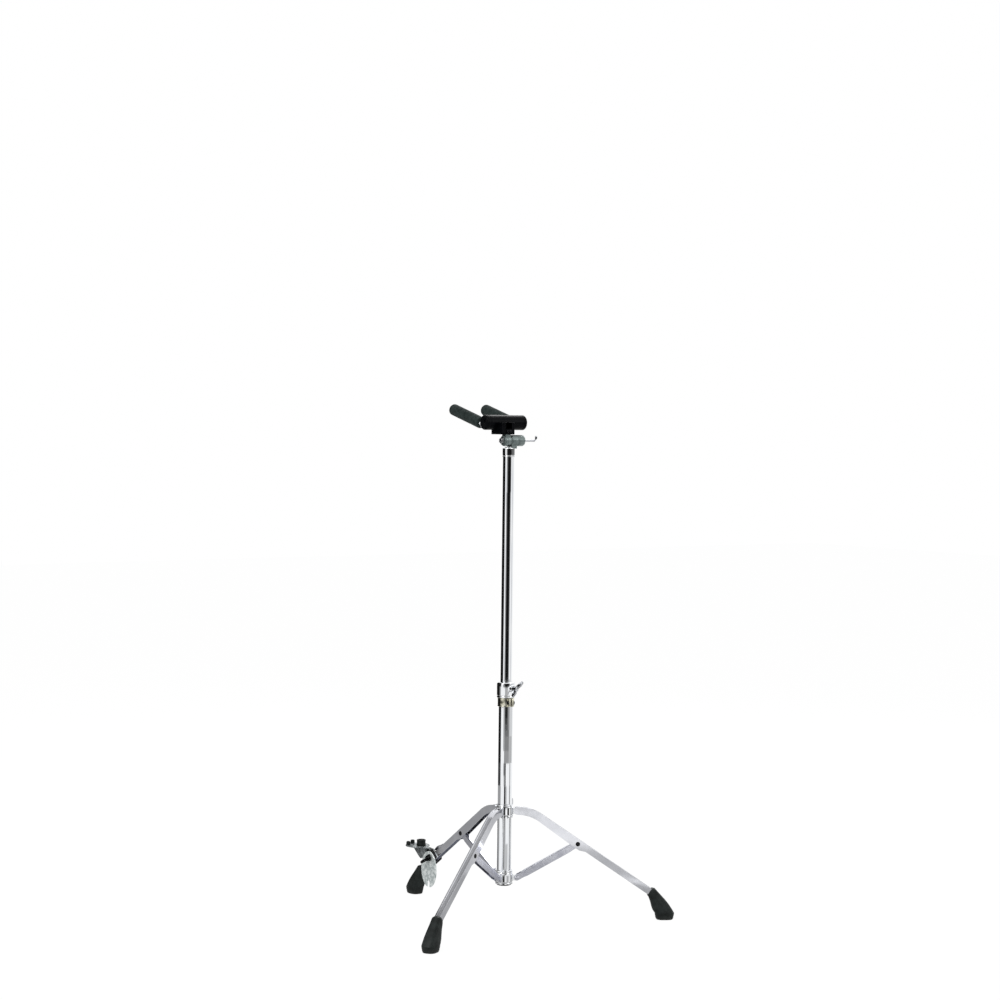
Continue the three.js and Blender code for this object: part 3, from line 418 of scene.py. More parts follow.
# Legs and stays: pressed channels, drawn in the plane of one leg and then turned to all three.
leg = dict(
    width=14, wall=1.6, kneeReach=30.5, linkLength=153, reach=205, rootLobe=8.5, inset=10, pivotDepth=20,
    footDepth=14.8, lead=12, tail=10, taper=14, press=2.4, beadInset=2.5, beadSlope=0.9, beadDepth=0.8)
spread = collar["legHinge"] - collar["stayHinge"]
archTop = collar["legHinge"] + leg["rootLobe"]
pivot = Vector((collar["hinge"] + sqrt(leg["linkLength"] ** 2 - (spread / 2) ** 2),
                collar["stayHinge"] + spread / 2))
knee = Vector((collar["hinge"] + leg["kneeReach"], archTop))
slope = atan2(knee.y - pivot.y, pivot.x - knee.x) - asin(leg["inset"] / (pivot - knee).length)
down = Vector((cos(slope), -sin(slope)))
out = Vector((sin(slope), cos(slope)))


def onLeg(along, away):
    place = pivot + along * down + away * out
    return (place.x, place.y)


def channel(outline, width, wall, press, isOpen, bead=None):
    # a side view pressed into a channel: sides and web with round folds, open where isOpen says so
    bm = plate(outline, width)
    gone = [face for face in bm.faces if abs(face.normal.y) < 0.5 and isOpen(face)]
    ops.delete(bm, geom=gone, context="FACES")
    tilts = {edge: [abs(face.normal.y) for face in edge.link_faces] for edge in bm.edges}
    folds = [edge for edge, tilt in tilts.items() if len(tilt) == 2 and abs(tilt[0] - tilt[1]) > 0.5]
    roundOff(bm, folds, press, 5, clamp=True)
    if bead:  # a shallow groove along the web
        inset, bank, depth = bead
        web = [face for face in bm.faces if abs(face.normal.y) < 0.05]
        ops.inset_region(bm, faces=web, thickness=inset, depth=0, use_even_offset=True)
        web = [face for face in web if face.is_valid]
        ops.inset_region(bm, faces=web, thickness=bank, depth=-depth, use_even_offset=True)
    ops.solidify(bm, geom=bm.faces, thickness=wall)
    return bm


def legShape():
    reach, inset, lobe, tail, lead = take(leg, "reach inset rootLobe tail lead")
    shallow, deep = inset - leg["footDepth"], inset - leg["pivotDepth"]
    hinge = collar["hinge"]
    centre = archTop - leg["kneeReach"] / tan(slope / 2)
    radius = archTop - centre
    end = 90 - degrees(slope)
    outline = arc(hinge, centre, radius, 90, end, 20)
    outline += [onLeg(reach, inset), onLeg(reach, shallow), onLeg(tail + leg["taper"], shallow), onLeg(tail, deep),
                onLeg(-lead, deep)]
    outline += arc(hinge, centre, radius - 2 * lobe, end, 90, 20)
    outline += arc(hinge, collar["legHinge"], lobe, -90, -270, 16)[1:-1]

    def isOpen(face):
        middle = face.calc_center_median()
        under = face.normal.z < 0.05
        atFoot = face.normal.x > 0.7 and middle.x > hinge + 150 and face.normal.z < 0
        return under or atFoot or middle.x < hinge - lobe / 2

    return channel(outline, *take(leg, "width wall press"), isOpen, take(leg, "beadInset beadSlope beadDepth"))


def rivetShape(head, headHeight, grip, x, z):
    # a domed head on each side of the channel, on a thin washer
    half = grip / 2 + 0.3
    dome = [(head * share, -half - headHeight * sqrt(1 - share * share))
            for share in (0, 0.3, 0.55, 0.75, 0.9, 0.98, 1)]
    return moved(lathe(bothEnds(dome + [(rivets["shaft"], -half)]), 40), shift(x, 0, z) @ upToY)


stay = dict(width=10.2, wall=1.3, half=7.5, lobe=6.4, webStart=15, taper=8, press=2)


def stayShape():
    length = leg["linkLength"]
    half, lobe, near = take(stay, "half lobe webStart")
    wide = near + stay["taper"]
    outline = arc(0, 0, lobe, 270, 90, 18)
    outline += [(near, lobe), (wide, half), (length - wide, half), (length - near, lobe)]
    outline += arc(length, 0, lobe, 90, -90, 18)
    outline += [(length - near, -lobe), (length - wide, -half), (wide, -half), (near, -lobe)]

    def isOpen(face):
        middle = face.calc_center_median()
        return face.normal.z < 0.05 or middle.x < near - 1 or middle.x > length - near + 1

    bm = channel(outline, *take(stay, "width wall press"), isOpen)
    rise = degrees(atan2(pivot.y - collar["stayHinge"], pivot.x - collar["hinge"]))
    return moved(bm, shift(collar["hinge"], 0, collar["stayHinge"]) @ spinBy(-rise, "Y"))


# Rubber boots: a beaded sleeve on the leg, then a bell down to a level sole with a tread.
boot = dict(
    grip=12, sleeve=6, topHalf=10, sleeveHalf=12, bellHalfDepth=21.5, bellHalfWidth=17.5, bellHeight=14,
    bellAdvance=33.7, soleShare=0.84, squareness=2.6, sides=64, treadRings=3, treadDepth=0.9)


def bootRing(bm, centre, across, halfDepth, halfWidth):
    power = 2 / boot["squareness"]

    def placed(number, c, s):
        outward = copysign(halfDepth * abs(c) ** power, c)
        aside = copysign(halfWidth * abs(s) ** power, s)
        return (centre[0] + across[0] * outward, aside, centre[1] + across[1] * outward)

    return ringOf(bm, 1, boot["sides"], placed)


def bootShape():
    middle = leg["inset"] - leg["footDepth"] / 2
    start = leg["reach"] - boot["grip"]
    sleeve, top, half, deep, wide = take(boot, "sleeve topHalf sleeveHalf bellHalfDepth bellHalfWidth")
    rings = [(onLeg(start + along, middle), out, size, size) for along, size in (
        (0.8, top - 1.6), (0, top - 0.7), (0.8, top + 0.1), (sleeve * 0.75, half - 0.7), (sleeve, half))]
    hem = onLeg(start + sleeve, middle)
    bell = (onLeg(start, middle)[0] + boot["bellAdvance"], boot["bellHeight"])
    level = (1, 0)
    for share in (0.12, 0.3, 0.5, 0.7, 0.88):
        ease = share - 0.06 * sin(2 * pi * share)
        centre = tuple(a + (b - a) * share for a, b in zip(hem, bell))
        lean = Vector(out).lerp(Vector(level), share).normalized()
        rings.append((centre, lean, half + (deep - half) * ease, half + (wide - half) * ease))
    for height, share in ((bell[1], 1), (bell[1] * 0.55, 0.955), (bell[1] * 0.5, 0.925), (bell[1] * 0.4, 0.925),
                          (bell[1] * 0.35, 0.93), (0.9, 0.86), (0, boot["soleShare"] * 0.97)):
        rings.append(((bell[0], height), level, deep * share, wide * share))
    bm = bmesh.new()
    loops = [bootRing(bm, *ring) for ring in rings]
    skin(bm, loops)
    caps = [ops.contextual_create(bm, geom=loop)["faces"] for loop in (loops[0], loops[-1])]
    sole = caps[1]
    for ring in range(boot["treadRings"]):
        for depth in (0, boot["treadDepth"], 0, -boot["treadDepth"]):
            sole = [face for face in sole if face.is_valid]
            ops.inset_region(bm, faces=sole, thickness=1.6 if depth == 0 else 0.3, depth=0)
            for vert in {vert for face in sole for vert in face.verts}:
                vert.co.z += depth
    return facedOut(bm)


rivets = dict(head=5, headHeight=1.8, pinHead=4.2, pinHeight=1.4, shaft=2.6, pinHalf=5.1)
for letter, turn in legTurn.items():
    spoke = onPost @ spinBy(turn, "Z")
    addPiece(legShape(), "leg_" + letter, "channel", spoke, 0.25)
    addPiece(stayShape(), "stay_" + letter, "zinc", spoke, 0.25)
    addPiece(bootShape(), "foot_" + letter, "rubber", spoke, 0)
    rivet = rivetShape(rivets["head"], rivets["headHeight"], leg["width"], pivot.x, pivot.y)
    addPiece(rivet, "leg_rivet_" + letter, "blackMetal", spoke, 0)
    pin = rivetShape(rivets["pinHead"], rivets["pinHeight"], stay["width"], collar["hinge"], collar["stayHinge"])
    addPiece(pin, "stay_pin_" + letter, "zinc", spoke, 0)
    pinBar = lathe(bothEnds([(0, -rivets["pinHalf"]), (rivets["shaft"], -rivets["pinHalf"])]), 32)
    moved(pinBar, shift(collar["hinge"], 0, collar["legHinge"]) @ upToY)
    addPiece(pinBar, "leg_hinge_pin_" + letter, "zinc", spoke, 0.3)
print("legs made")

# Height clamp: a slit ring with two ears and its screw, and a round housing above it.
clamp = dict(
    base=471, top=490, outer=18.9, bore=16.2, earDepth=7.5, earWidth=12, slit=2.4, turn=82, crown=0.7,
    head=4.7, headHeight=1.8, shank=2.6)


def clampRing():
    # a round section swept almost all the way, its two ends turned out into ears
    base, top, bore, outer, crown = take(clamp, "base top bore outer crown")
    half = degrees(asin(clamp["slit"] / 2 / bore))
    section = [(bore, base), *beside(outer, base, (-crown, 0), (0, 1.2), (-crown, 2.6)),
               *beside(outer, top, (-crown, -2.6), (0, -1.2), (-crown, 0)), (bore, top)]
    bm = bmesh.new()
    face = bm.faces.new([bm.verts.new((radius, 0, z)) for radius, z in section])
    ops.rotate(bm, cent=(0, 0, 0), matrix=spinBy(half, "Z"), verts=bm.verts)
    ops.spin(bm, geom=[face] + list(face.edges) + list(face.verts), cent=(0, 0, 0), axis=(0, 0, 1),
             dvec=(0, 0, 0), angle=radians(360 - 2 * half), steps=96)
    facedOut(bm)
    ears = []
    tip = outer + clamp["earDepth"]
    for side in (-1, 1):
        low, high = sorted((side * clamp["slit"] / 2, side * clamp["earWidth"] / 2))
        ear = brick((bore + 1.4, low, base + 0.4), (tip, high, top - 0.4))
        for end in (base, top):
            roundOff(ear, edgesWhere(ear, lambda co: co.x > tip - 0.1 and abs(co.z - end) < 0.5), 3.2, 6)
        ears.append(ear)
    return joined(bm, *ears)


def socketScrew():
    # a cap screw across the ears: recessed hexagon in its head, a nut on the other side
    half = clamp["earWidth"] / 2 + 0.3
    head, height, shank = take(clamp, "head headHeight shank")
    end = half + height
    screw = lathe([(0, half + 0.6), (2, half + 0.6), (2.2, end), *beside(head, end, (-0.4, 0), (0, -0.4)),
                   (head, half), (shank, half), (shank, -half), (0, -half)], 40)
    nut = lathe([(0, -half), (head, -half), *beside(head, -end, (0, 0.3), (-0.7, 0)), (0, -end)], 6)
    return joined(screw, nut)


ringPlace = onPost @ spinBy(clamp["turn"], "Z")
addPiece(clampRing(), "clamp_ring", "brass", ringPlace, 0.5, 3)
screwPlace = shift(clamp["outer"] + clamp["earDepth"] / 2, 0, (clamp["base"] + clamp["top"]) / 2) @ upToY
addPiece(moved(socketScrew(), screwPlace), "clamp_ring_screw", "blackMetal", ringPlace, 0.2)

housing = dict(
    floor=490.3, top=524, outer=20, inner=16.2, neck=13, room=517, chamfer=2, boss=7.5, bossRoot=17.4,
    bossReach=27, bore=3.3, boltHeight=511.3, boltTurn=95, wingTurn=47)
base, top, outer, inner, neck, room, chamfer = take(housing, "floor top outer inner neck room chamfer")
shell = lathe([
    (inner, base), *beside(outer, base, (-0.5, 0), (0, 0.6), (0, 3.4), (-0.6, 4), (-0.6, 4.8), (0, 5.4)),
    *beside(outer, top - chamfer, (0, -1.2), (-0.35, 0.1)), *beside(outer, top, (-1.2, -0.7), (-chamfer - 0.6, 0)),
    (neck, top), (neck, room), (inner, room),
], 128)
boss = bossShape(housing, [(1.6, 0), (0.5, 2.8), (0, 4)], [(0, -0.7), (-0.7, 0)])
addPiece(joined(shell, boss), "clamp_housing", "chrome", onPost, 0.35, 3)
addBolt(housing, "clamp_wing_bolt")
print("clamp made")

# Tilter: a collar and neck on the mast with the far toothed hub; the near hub carries the yoke.
tilter = dict(
    base=1019, collarTop=1039, collarRadius=13.7, tubeSeat=1033, tubeRadius=13, neck=9, axis=1055,
    hub=12.3, neckTop=1041.2, near=16, far=38, webReach=16, webEnd=-1.9, chamfer=3, bore=3.9, teeth=16,
    toothInner=6.5, toothHeight=0.9, toothRoot=1.6, meshFace=0.2, hubGap=1.4, hubRoom=1.5, shaft=3.4, rod=2.5,
    rodReach=74, rodSides=24, tip=11, bend=5, knob=6.5, knobLength=5, nut=7, nutLength=6)
onAxis = shift(post["x"], post["y"], tilter["axis"])


def toothRing():
    # radial teeth about X: one sloped ring of ridges and valleys, closed behind
    inner, height, root = take(tilter, "toothInner toothHeight toothRoot")
    outer = tilter["hub"] - 0.2
    bm = bmesh.new()
    loops = [ringOf(bm, radius, 2 * tilter["teeth"], lambda i, y, z: (high if i % 2 else low, y, z))
             for radius, low, high in ((inner, -root, -root), (outer, -root, -root), (outer, 0, height),
                                       (inner, 0, height * 0.6))]
    skin(bm, loops + loops[:1])
    return facedOut(bm)


def hubShape(start, end):
    # along X, its toothed end at start and its chamfered face at end
    hub, bore, chamfer = take(tilter, "hub bore chamfer")
    sign = 1 if end > start else -1
    middle = start + (end - start) * 0.45
    outline = [(bore, start), *beside(hub, start, (-0.5, 0), (0, sign * 0.5)),
               *beside(hub, middle, (0, 0), (-0.45, sign * 0.45), (-0.45, sign * 1.3), (0, sign * 1.75)),
               *beside(hub, end, (0, -sign * chamfer), (-chamfer * 0.32, -sign * chamfer * 0.32), (-chamfer, 0)),
               *beside(bore, end, (1.2, 0), (0, -sign * 1.2))]
    return moved(lathe(outline), upToX)


base, top, socket, tube, seat = take(tilter, "base collarTop collarRadius tubeRadius tubeSeat")
neck, neckTop = take(tilter, "neck neckTop")
plinth = lathe([
    (0, seat), (tube, seat), (tube, base),
    *beside(socket, base, (-0.3, 0), (0, 0.4), (0, 2), (-0.6, 2.4), (-0.6, 3.6), (0, 4)),
    *beside(socket, top, (0, -1.6), (-0.5, -0.5), (-1.6, 0)), *beside(neck, top, (1.2, 0), (0, 1.2)),
    (neck, neckTop), (0, neckTop)])
addPiece(plinth, "tilter_base", "chrome", onPost, 0.35, 3, name="tilter_socket")
webEnd, webReach = take(tilter, "webEnd webReach")
webTop = tilter["axis"] - tilter["hub"] * 0.4
web = [(-webReach, top - tilter["hubRoom"]), (webEnd, top - 1), (webEnd, webTop), (-webReach, webTop)]
farHub = moved(hubShape(webEnd - tilter["hubGap"], -tilter["far"]), shift(0, 0, tilter["axis"]))
farTeeth = moved(toothRing(), shift(webEnd, 0, tilter["axis"]))
addPiece(joined(plate(web, 2 * neck), farHub, farTeeth), "tilter_base", "satin", onPost, 0.35, 3)

nut, length, bore = tilter["nut"], tilter["nutLength"], tilter["shaft"] + 0.3
tilterNut = lathe([(bore, 0), (nut, 0), *beside(nut, length, (0, -0.6), (-0.9, 0)), (bore, length)], 6)
addPiece(moved(tilterNut, shift(tilter["near"] + 0.3, 0, 0) @ upToX), "tilter_nut", "chrome", onAxis, 0.3)


def bentRod():
    # a rod along -X whose end bends up, rounded at the tip
    radius, reach, bend, tip, sides = take(tilter, "rod rodReach bend tip rodSides")
    path = [(-tilter["far"], 0, 0, 1)]
    for i in range(9):
        turn = pi / 2 * i / 8
        across, rise = -sin(turn), cos(turn)
        path.append((-reach + bend + bend * across, bend - bend * rise, across, rise))
    path.append((-reach, tip - radius, -1, 0))
    bm = bmesh.new()
    loops = [ringOf(bm, radius, sides, lambda i, side, up: (x + up * across, side, z + up * rise))
             for x, z, across, rise in path]
    for share in (0.35, 0.7, 0.92):
        size, height = radius * sqrt(1 - share * share), tip - radius + radius * share
        loops.append(ringOf(bm, size, sides, lambda i, side, up: (-reach - up, side, height)))
    skin(bm, loops)
    for loop in (loops[0], loops[-1]):
        ops.contextual_create(bm, geom=loop)
    return facedOut(bm)


shaft, knob, rod, knobLength = take(tilter, "shaft knob rod knobLength")
end, knobFace = tilter["near"] + tilter["nutLength"], -tilter["far"] - 0.3
leverShaft = lathe([
    (0, end), *beside(shaft, end, (-0.6, 0), (0, -0.6)), (shaft, knobFace),
    *beside(knob, knobFace, (-0.4, 0), (0, -0.5), (-0.2, -knobLength * 0.5)),
    *beside(rod, knobFace, (1.4, -knobLength * 0.85), (0, -knobLength)), (0, knobFace - knobLength)], 48)
addPiece(joined(moved(leverShaft, upToX), bentRod()), "tilter_lever", "nickel", onAxis, 0.2)
print("tilter made")

# Yoke: the near hub's tongue goes up into a slot of the black cross block.
yoke = dict(
    tongueMiddle=8.1, tongueHalf=6.75, tongueFront=-4.7, tongueBack=9.3, tongueTop=25, gap=0.3,
    bar=16.5, forward=20, rise=39.5, half=49, saddleNear=26, saddleFar=8, saddleFront=30, saddleBack=12,
    saddleFloor=13.4, armY=43, armDrop=8, armTilt=15, rod=5, rodStart=9, rodEnd=126, nutStart=19.4,
    nut=9, nutLength=6, padStart=26, padEnd=142, pad=12.8, padRound=6, padBore=128, cap=4,
    capRound=3, screw=2, screwHead=3.2, screwDepth=16.7, screwRise=20, screwGap=7)
tongueLow, tongueHigh = (yoke["tongueMiddle"] + side * yoke["tongueHalf"] for side in (-1, 1))
nearHub = hubShape(tilter["meshFace"] + tilter["hubGap"], tilter["near"])
halfTooth = spinBy(180 / tilter["teeth"], "X")
nearTeeth = moved(toothRing(), shift(tilter["meshFace"], 0, 0) @ spinBy(180, "Z") @ halfTooth)
tongue = brick((tongueLow, yoke["tongueFront"], 2), (tongueHigh, yoke["tongueBack"], yoke["tongueTop"]))
addPiece(joined(nearHub, nearTeeth, tongue), "yoke_hub", "satin", onAxis, 0.35, 3)


def crossBlock():
    # the round bar, grooved near its ends, and the saddle that grips the tongue
    half, bar, gap = take(yoke, "half bar gap")
    ends = beside(bar, -half, (-bar, 0), (-0.6, 0), (0, 0.6), (0, 4.2), (-0.5, 4.8), (-0.5, 5.8), (0, 6.4))
    whole = [moved(lathe(bothEnds(ends)), shift(0, -yoke["forward"], yoke["rise"]) @ upToX)]
    low, high = tongueLow - gap, tongueHigh + gap
    front, back, roof = yoke["tongueFront"] - gap, yoke["tongueBack"] + gap, yoke["tongueTop"] + gap
    near, far, reach, last, under, top = take(yoke, "saddleNear saddleFar saddleFront saddleBack saddleFloor rise")
    first = -reach
    for start, end, corner in ((-far, low, -far), (high, near, near)):
        cheek = brick((start, first, under), (end, last, top))
        roundOff(cheek, edgesWhere(cheek, lambda co: co.y > last - 0.1 and abs(co.x - corner) < 0.1), 2.2, 5)
        whole.append(cheek)
    for start, end, bottom in ((first, front, under), (back, last, under), (first, last, roof)):
        whole.append(brick((low - 1, start, bottom), (high + 1, end, top)))
    return joined(*whole)


addPiece(crossBlock(), "cross_block", "blackPlastic", onAxis, 0.7, 3)
screw, head, depth, face = take(yoke, "screw screwHead screwDepth saddleBack")
screwOutline = [(0, -depth), *beside(screw, -depth, (-0.7, 0), (0, 1)), (screw, face + 0.3),
                *beside(head, face, (0, 0.3), (0, 1.7), (-0.5, 2.5), (-1.1, 2.9)),
                *beside(0, face, (1.5, 2.9), (1.3, 1.5), (0, 1.5))]
for number, side in ((1, -1), (2, 1)):
    at = shift(yoke["tongueMiddle"] + side * yoke["screwGap"] / 2, 0, yoke["screwRise"])
    addPiece(moved(lathe(screwOutline, 40), at @ upToY), "cross_screw_%d" % number, "oxide", onAxis, 0.15)


def endCap(side):
    # a dished cap with a disc in its face and a small tick at the top
    bar, curl, start = yoke["bar"], yoke["capRound"], yoke["half"] + yoke["gap"]
    end = start + yoke["cap"]
    outline = [(0, start), (bar, start), *arc(bar - curl, end - curl, curl, 0, 90, 6)]
    outline += beside(bar, end, (-4.2, 0), (-4.7, -0.5), (-5.4, -0.5), (-5.9, 0), (-6.6, -0.1))
    outline += beside(0, end, (3, -0.5), (2.2, -1.1), (0, -1.1))
    tick = brick((end - 0.8, -0.7, bar - 4.4), (end + 0.15, 0.7, bar - 1.6))
    whole = moved(joined(moved(lathe(outline), upToX), tick), shift(0, -yoke["forward"], yoke["rise"]))
    return whole if side > 0 else facedOut(moved(whole, Matrix.Diagonal((-1, 1, 1, 1))))


def armPad():
    # a moulded foam sleeve: rounded mouth, a faint mould ring, domed end
    pad, depth, start, end, curl = take(yoke, "pad padBore padStart padEnd padRound")
    bore = yoke["rod"] + yoke["gap"]
    outline = [(0, depth), (bore, depth), *beside(bore, start, (0, 1.4), (0.5, 0.3), (1.6, 0)),
               *beside(pad, start, (-2.4, 0), (-1, 0.5), (-0.2, 1.6), (0, 3.2)),
               *beside(pad, end - curl, (0, -22), (-0.25, -21), (0, -20)),
               *arc(pad - curl, end - curl, curl, 0, 90, 10), (pad - curl - 2.4, end - 0.1), (0, end - 0.4)]
    return lathe(outline)


rod, start, end = take(yoke, "rod rodStart rodEnd")
rodOutline = [(0, start), *beside(rod, start, (-0.8, 0), (0, 0.8)), *beside(rod, end, (0, -1), (-1, 0)), (0, end)]
bore, nut, start = rod + yoke["gap"], yoke["nut"], yoke["nutStart"]
end = start + yoke["nutLength"]
hexNut = [(bore, start), *beside(nut, start, (-0.9, 0), (0, 0.8)),
          *beside(nut, end, (0, -0.8), (-0.9, 0)), (bore, end)]
for label, side in (("near", 1), ("far", -1)):
    addPiece(endCap(side), "cross_cap_" + label, "blackPlastic", onAxis, 0)
    line = onAxis @ shift(side * yoke["armY"], -yoke["forward"], yoke["rise"] - yoke["armDrop"])
    line = line @ spinBy(90 - yoke["armTilt"], "X")
    addPiece(lathe(rodOutline, 64), "arm_rod_" + label, "chrome", line, 0)
    addPiece(lathe(hexNut, 6), "arm_nut_" + label, "chrome", line, 0.3)
    pad = addPiece(armPad(), "arm_pad_" + label, "foam", line, 0)
print("yoke made")

# The rest on leg a: x runs down the leg, z out of its web, y across it.
rest = dict(
    along=143, half=21, inner=7.3, outer=10.3, roof=0.3, top=3.3, low=-16.8, fold=2.2, gap=0.3,
    lug=6, lugHalf=3, lugHeight=12.8, boltX=-8, boltZ=-7.4,
    cheekY=12.1, cheekThick=3, cheekHalfWidth=30, cheekHalfHeight=41, cheekForward=5, cheekDrop=26,
    notchWidth=9, notchDepth=16,
    tray=28, trayForward=54, trayLow=4, trayTop=7, armHalf=8, armStart=6.3, gussetHalf=2.5,
    gussetDrop=22, gussetForward=38, forkInner=3.3, forkWall=2.2, pin=2.6, pinHead=6, pinHeadHeight=3,
    cup=11, cupHeight=14, cupBore=6.5, cupDepth=10, cupSetback=15,
    stud=5.2, studHeight=8, studInset=6.4, studTurn=62,
    strapHalf=4.5, strapThick=2, strapArch=6, strapLength=44)
seatX, seatZ = onLeg(rest["along"], leg["inset"])
lean = degrees(slope)
onRest = onPost @ spinBy(legTurn["a"], "Z") @ shift(seatX, 0, seatZ) @ spinBy(lean, "Y")
onTray = onRest @ shift(0, 0, rest["lugHeight"]) @ spinBy(-lean, "Y")


def saddleShape():
    # a folded plate over the leg's web, with a lug welded on top
    half, low, top, inner, outer = take(rest, "half low top inner outer")
    bm = plate([(-half, low), (-half, top), (half, top), (half, low)], 2 * outer)
    gone = [face for face in bm.faces if abs(face.normal.y) < 0.5 and face.normal.z < 0.5]
    ops.delete(bm, geom=gone, context="FACES")
    roundOff(bm, [edge for edge in bm.edges if len(edge.link_faces) == 2], rest["fold"], 6)
    corners = [vert for vert in bm.verts if abs(abs(vert.co.x) - half) < 0.1 and abs(vert.co.z - low) < 0.1]
    roundOff(bm, corners, 4, 5, "VERTICES")
    ops.solidify(bm, geom=bm.faces, thickness=outer - inner)
    lug, root = rest["lug"], rest["roof"] + 1
    lugOutline = [(lug, root), *arc(0, rest["lugHeight"], lug, 0, 180, 24), (-lug, root)]
    return joined(bm, plate(lugOutline, 2 * rest["lugHalf"]))


def strapShape():
    low, arch, thick, length = take(rest, "roof strapArch strapThick strapLength")
    third, start = length / 3, -rest["half"] - rest["gap"]
    waist = (start - 1.6 * third, low + arch * 0.72)
    line = curve((start, low + arch - thick), (start - third, low + arch + 1.2), waist)
    line += curve(waist, (start - 2.3 * third, low + arch * 0.15), (start - 3 * third, low))[1:]
    bm = plate([(x, z + thick) for x, z in line] + line[::-1], 2 * rest["strapHalf"])
    tip = [edge for edge in edgesWhere(bm, lambda co: abs(co.x - start + length) < 0.1)
           if abs(edge.verts[0].co.z - edge.verts[1].co.z) > 1]
    roundOff(bm, tip, 3.6, 6)
    return bm


def cheekShape():
    # an oval plate with a round-ended notch from below, upright beside the leg
    forward, drop, width, height = take(rest, "cheekForward cheekDrop cheekHalfWidth cheekHalfHeight")
    half = rest["notchWidth"] / 2
    end = -drop - height + rest["notchDepth"]
    edgeTurn = degrees(asin(half / width))
    oval = arc(0, 0, 1, edgeTurn - 90, 270 - edgeTurn, 120)
    outline = [(forward + width * x, -drop + height * z) for x, z in oval]
    return plate(outline + arc(forward, end - half, half, 180, 0, 16), rest["cheekThick"])


addPiece(saddleShape(), "rest_saddle", "blackMetal", onRest, 0.35, 3)
addPiece(strapShape(), "rest_strap", "zinc", onRest, 0.3)
boltX, boltZ, inner, outer, gap = take(rest, "boltX boltZ inner outer gap")
cheekPlace = onRest @ shift(boltX, rest["cheekY"], boltZ) @ spinBy(-lean, "Y")
addPiece(cheekShape(), "rest_cheek", "mottled", cheekPlace, 0.7, 4)
boltPlace = onRest @ shift(boltX, inner, boltZ) @ spinBy(90, "Z") @ spinBy(-90, "X")
hubStart = outer + gap + rest["cheekThick"] + gap
addPiece(wingBolt(hubStart - inner), "rest_wing_bolt", "blackPlastic", boltPlace, wing["edge"], 4)


def trayShape():
    # a thin dish with a rolled rim, an arm back to the hinge, a web below and a fork on the lug
    low, top, radius, forward = take(rest, "trayLow trayTop tray trayForward")
    lug, start, half, wall = take(rest, "lug armStart armHalf forkWall")
    dishOutline = [(0, low), *beside(radius, low, (-1.5, 0), (-0.4, 0.5), (0, 1.5)),
                   *beside(radius, top, (-0.4, -0.5), (-1.2, 0), (-2.4, -0.5)), (0, top - 0.5)]
    shapes = [moved(lathe(dishOutline, 128), shift(forward, 0, 0)),
              brick((start, -half, low), (forward - 10, half, top - 0.5))]
    root, deepest = (start + lug, -lug), (rest["gussetForward"], -rest["gussetDrop"])
    web = [(start, top - 1.5), *curve(root, (deepest[0] - 14, deepest[1] + 5), deepest, 8)]
    web += curve(deepest, (deepest[0] + 10, deepest[1] + 4), (forward + radius - rest["studInset"], low + 1.5))[1:]
    shapes.append(plate(web, 2 * rest["gussetHalf"]))
    fork = arc(0, 0, lug, 180, 270, 16) + [root, (start + lug, top - 0.5), (-lug, top - 0.5)]
    for side in (-1, 1):
        shapes.append(moved(plate(fork, wall), shift(0, side * (rest["forkInner"] + wall / 2), 0)))
    return joined(*shapes)


addPiece(trayShape(), "rest_tray", "mottledDark", onTray, 0.35, 3)
pin, head, height, forkInner, forkWall = take(rest, "pin pinHead pinHeadHeight forkInner forkWall")
half = forkInner + forkWall + gap
dome = [(head * sin(t), -half - height * cos(t)) for t in (0, 0.5, 0.9, 1.25, 1.57)]
hingePin = lathe(bothEnds(dome + [(head, -half), (pin, -half)]), 48)
addPiece(moved(hingePin, upToY), "rest_hinge_pin", "blackPlastic", onTray, 0)

base = rest["trayTop"] + gap
cup, bore, rim = rest["cup"], rest["cupBore"], base + rest["cupHeight"]
cupShape = lathe([
    (0, base), *beside(cup, base, (-0.6, 0), (0, 0.6), (0, 2.6), (-0.7, 3.2)),
    *beside(cup, rim, (-1.1, -3.6), (-0.6, -3), (-0.7, -0.9), (-1.5, 0)), *beside(bore, rim, (0.9, 0), (0, -0.9)),
    *beside(bore, rim - rest["cupDepth"], (0, 1), (-1, 0), (-bore, -0.4))])
moved(cupShape, shift(rest["trayForward"] - rest["cupSetback"], 0, 0))
addPiece(cupShape, "rest_cup", "rubber", onTray, 0)

stud, height = rest["stud"], rest["studHeight"]
middle = base + height * 0.55
studOutline = [(0, base), *beside(stud, base, (-0.4, 0), (0, 0.4), (0, 1.8), (-0.5, 2.3)), (stud - 0.3, middle)]
for t in (0.3, 0.6, 0.9, 1.2, 1.57):
    studOutline.append((stud * 0.55 + stud * 0.4 * cos(t), middle + height * 0.45 * sin(t)))
reach = rest["tray"] - rest["studInset"]
for number in (1, 2, 3):
    turn = radians((number - 2) * rest["studTurn"])
    at = shift(rest["trayForward"] + reach * cos(turn), reach * sin(turn), 0)
    studShape = moved(lathe(studOutline + [(0, base + height)], 48), at)
    addPiece(studShape, "rest_stud_%d" % number, "rubber", onTray, 0)
print("rest made")

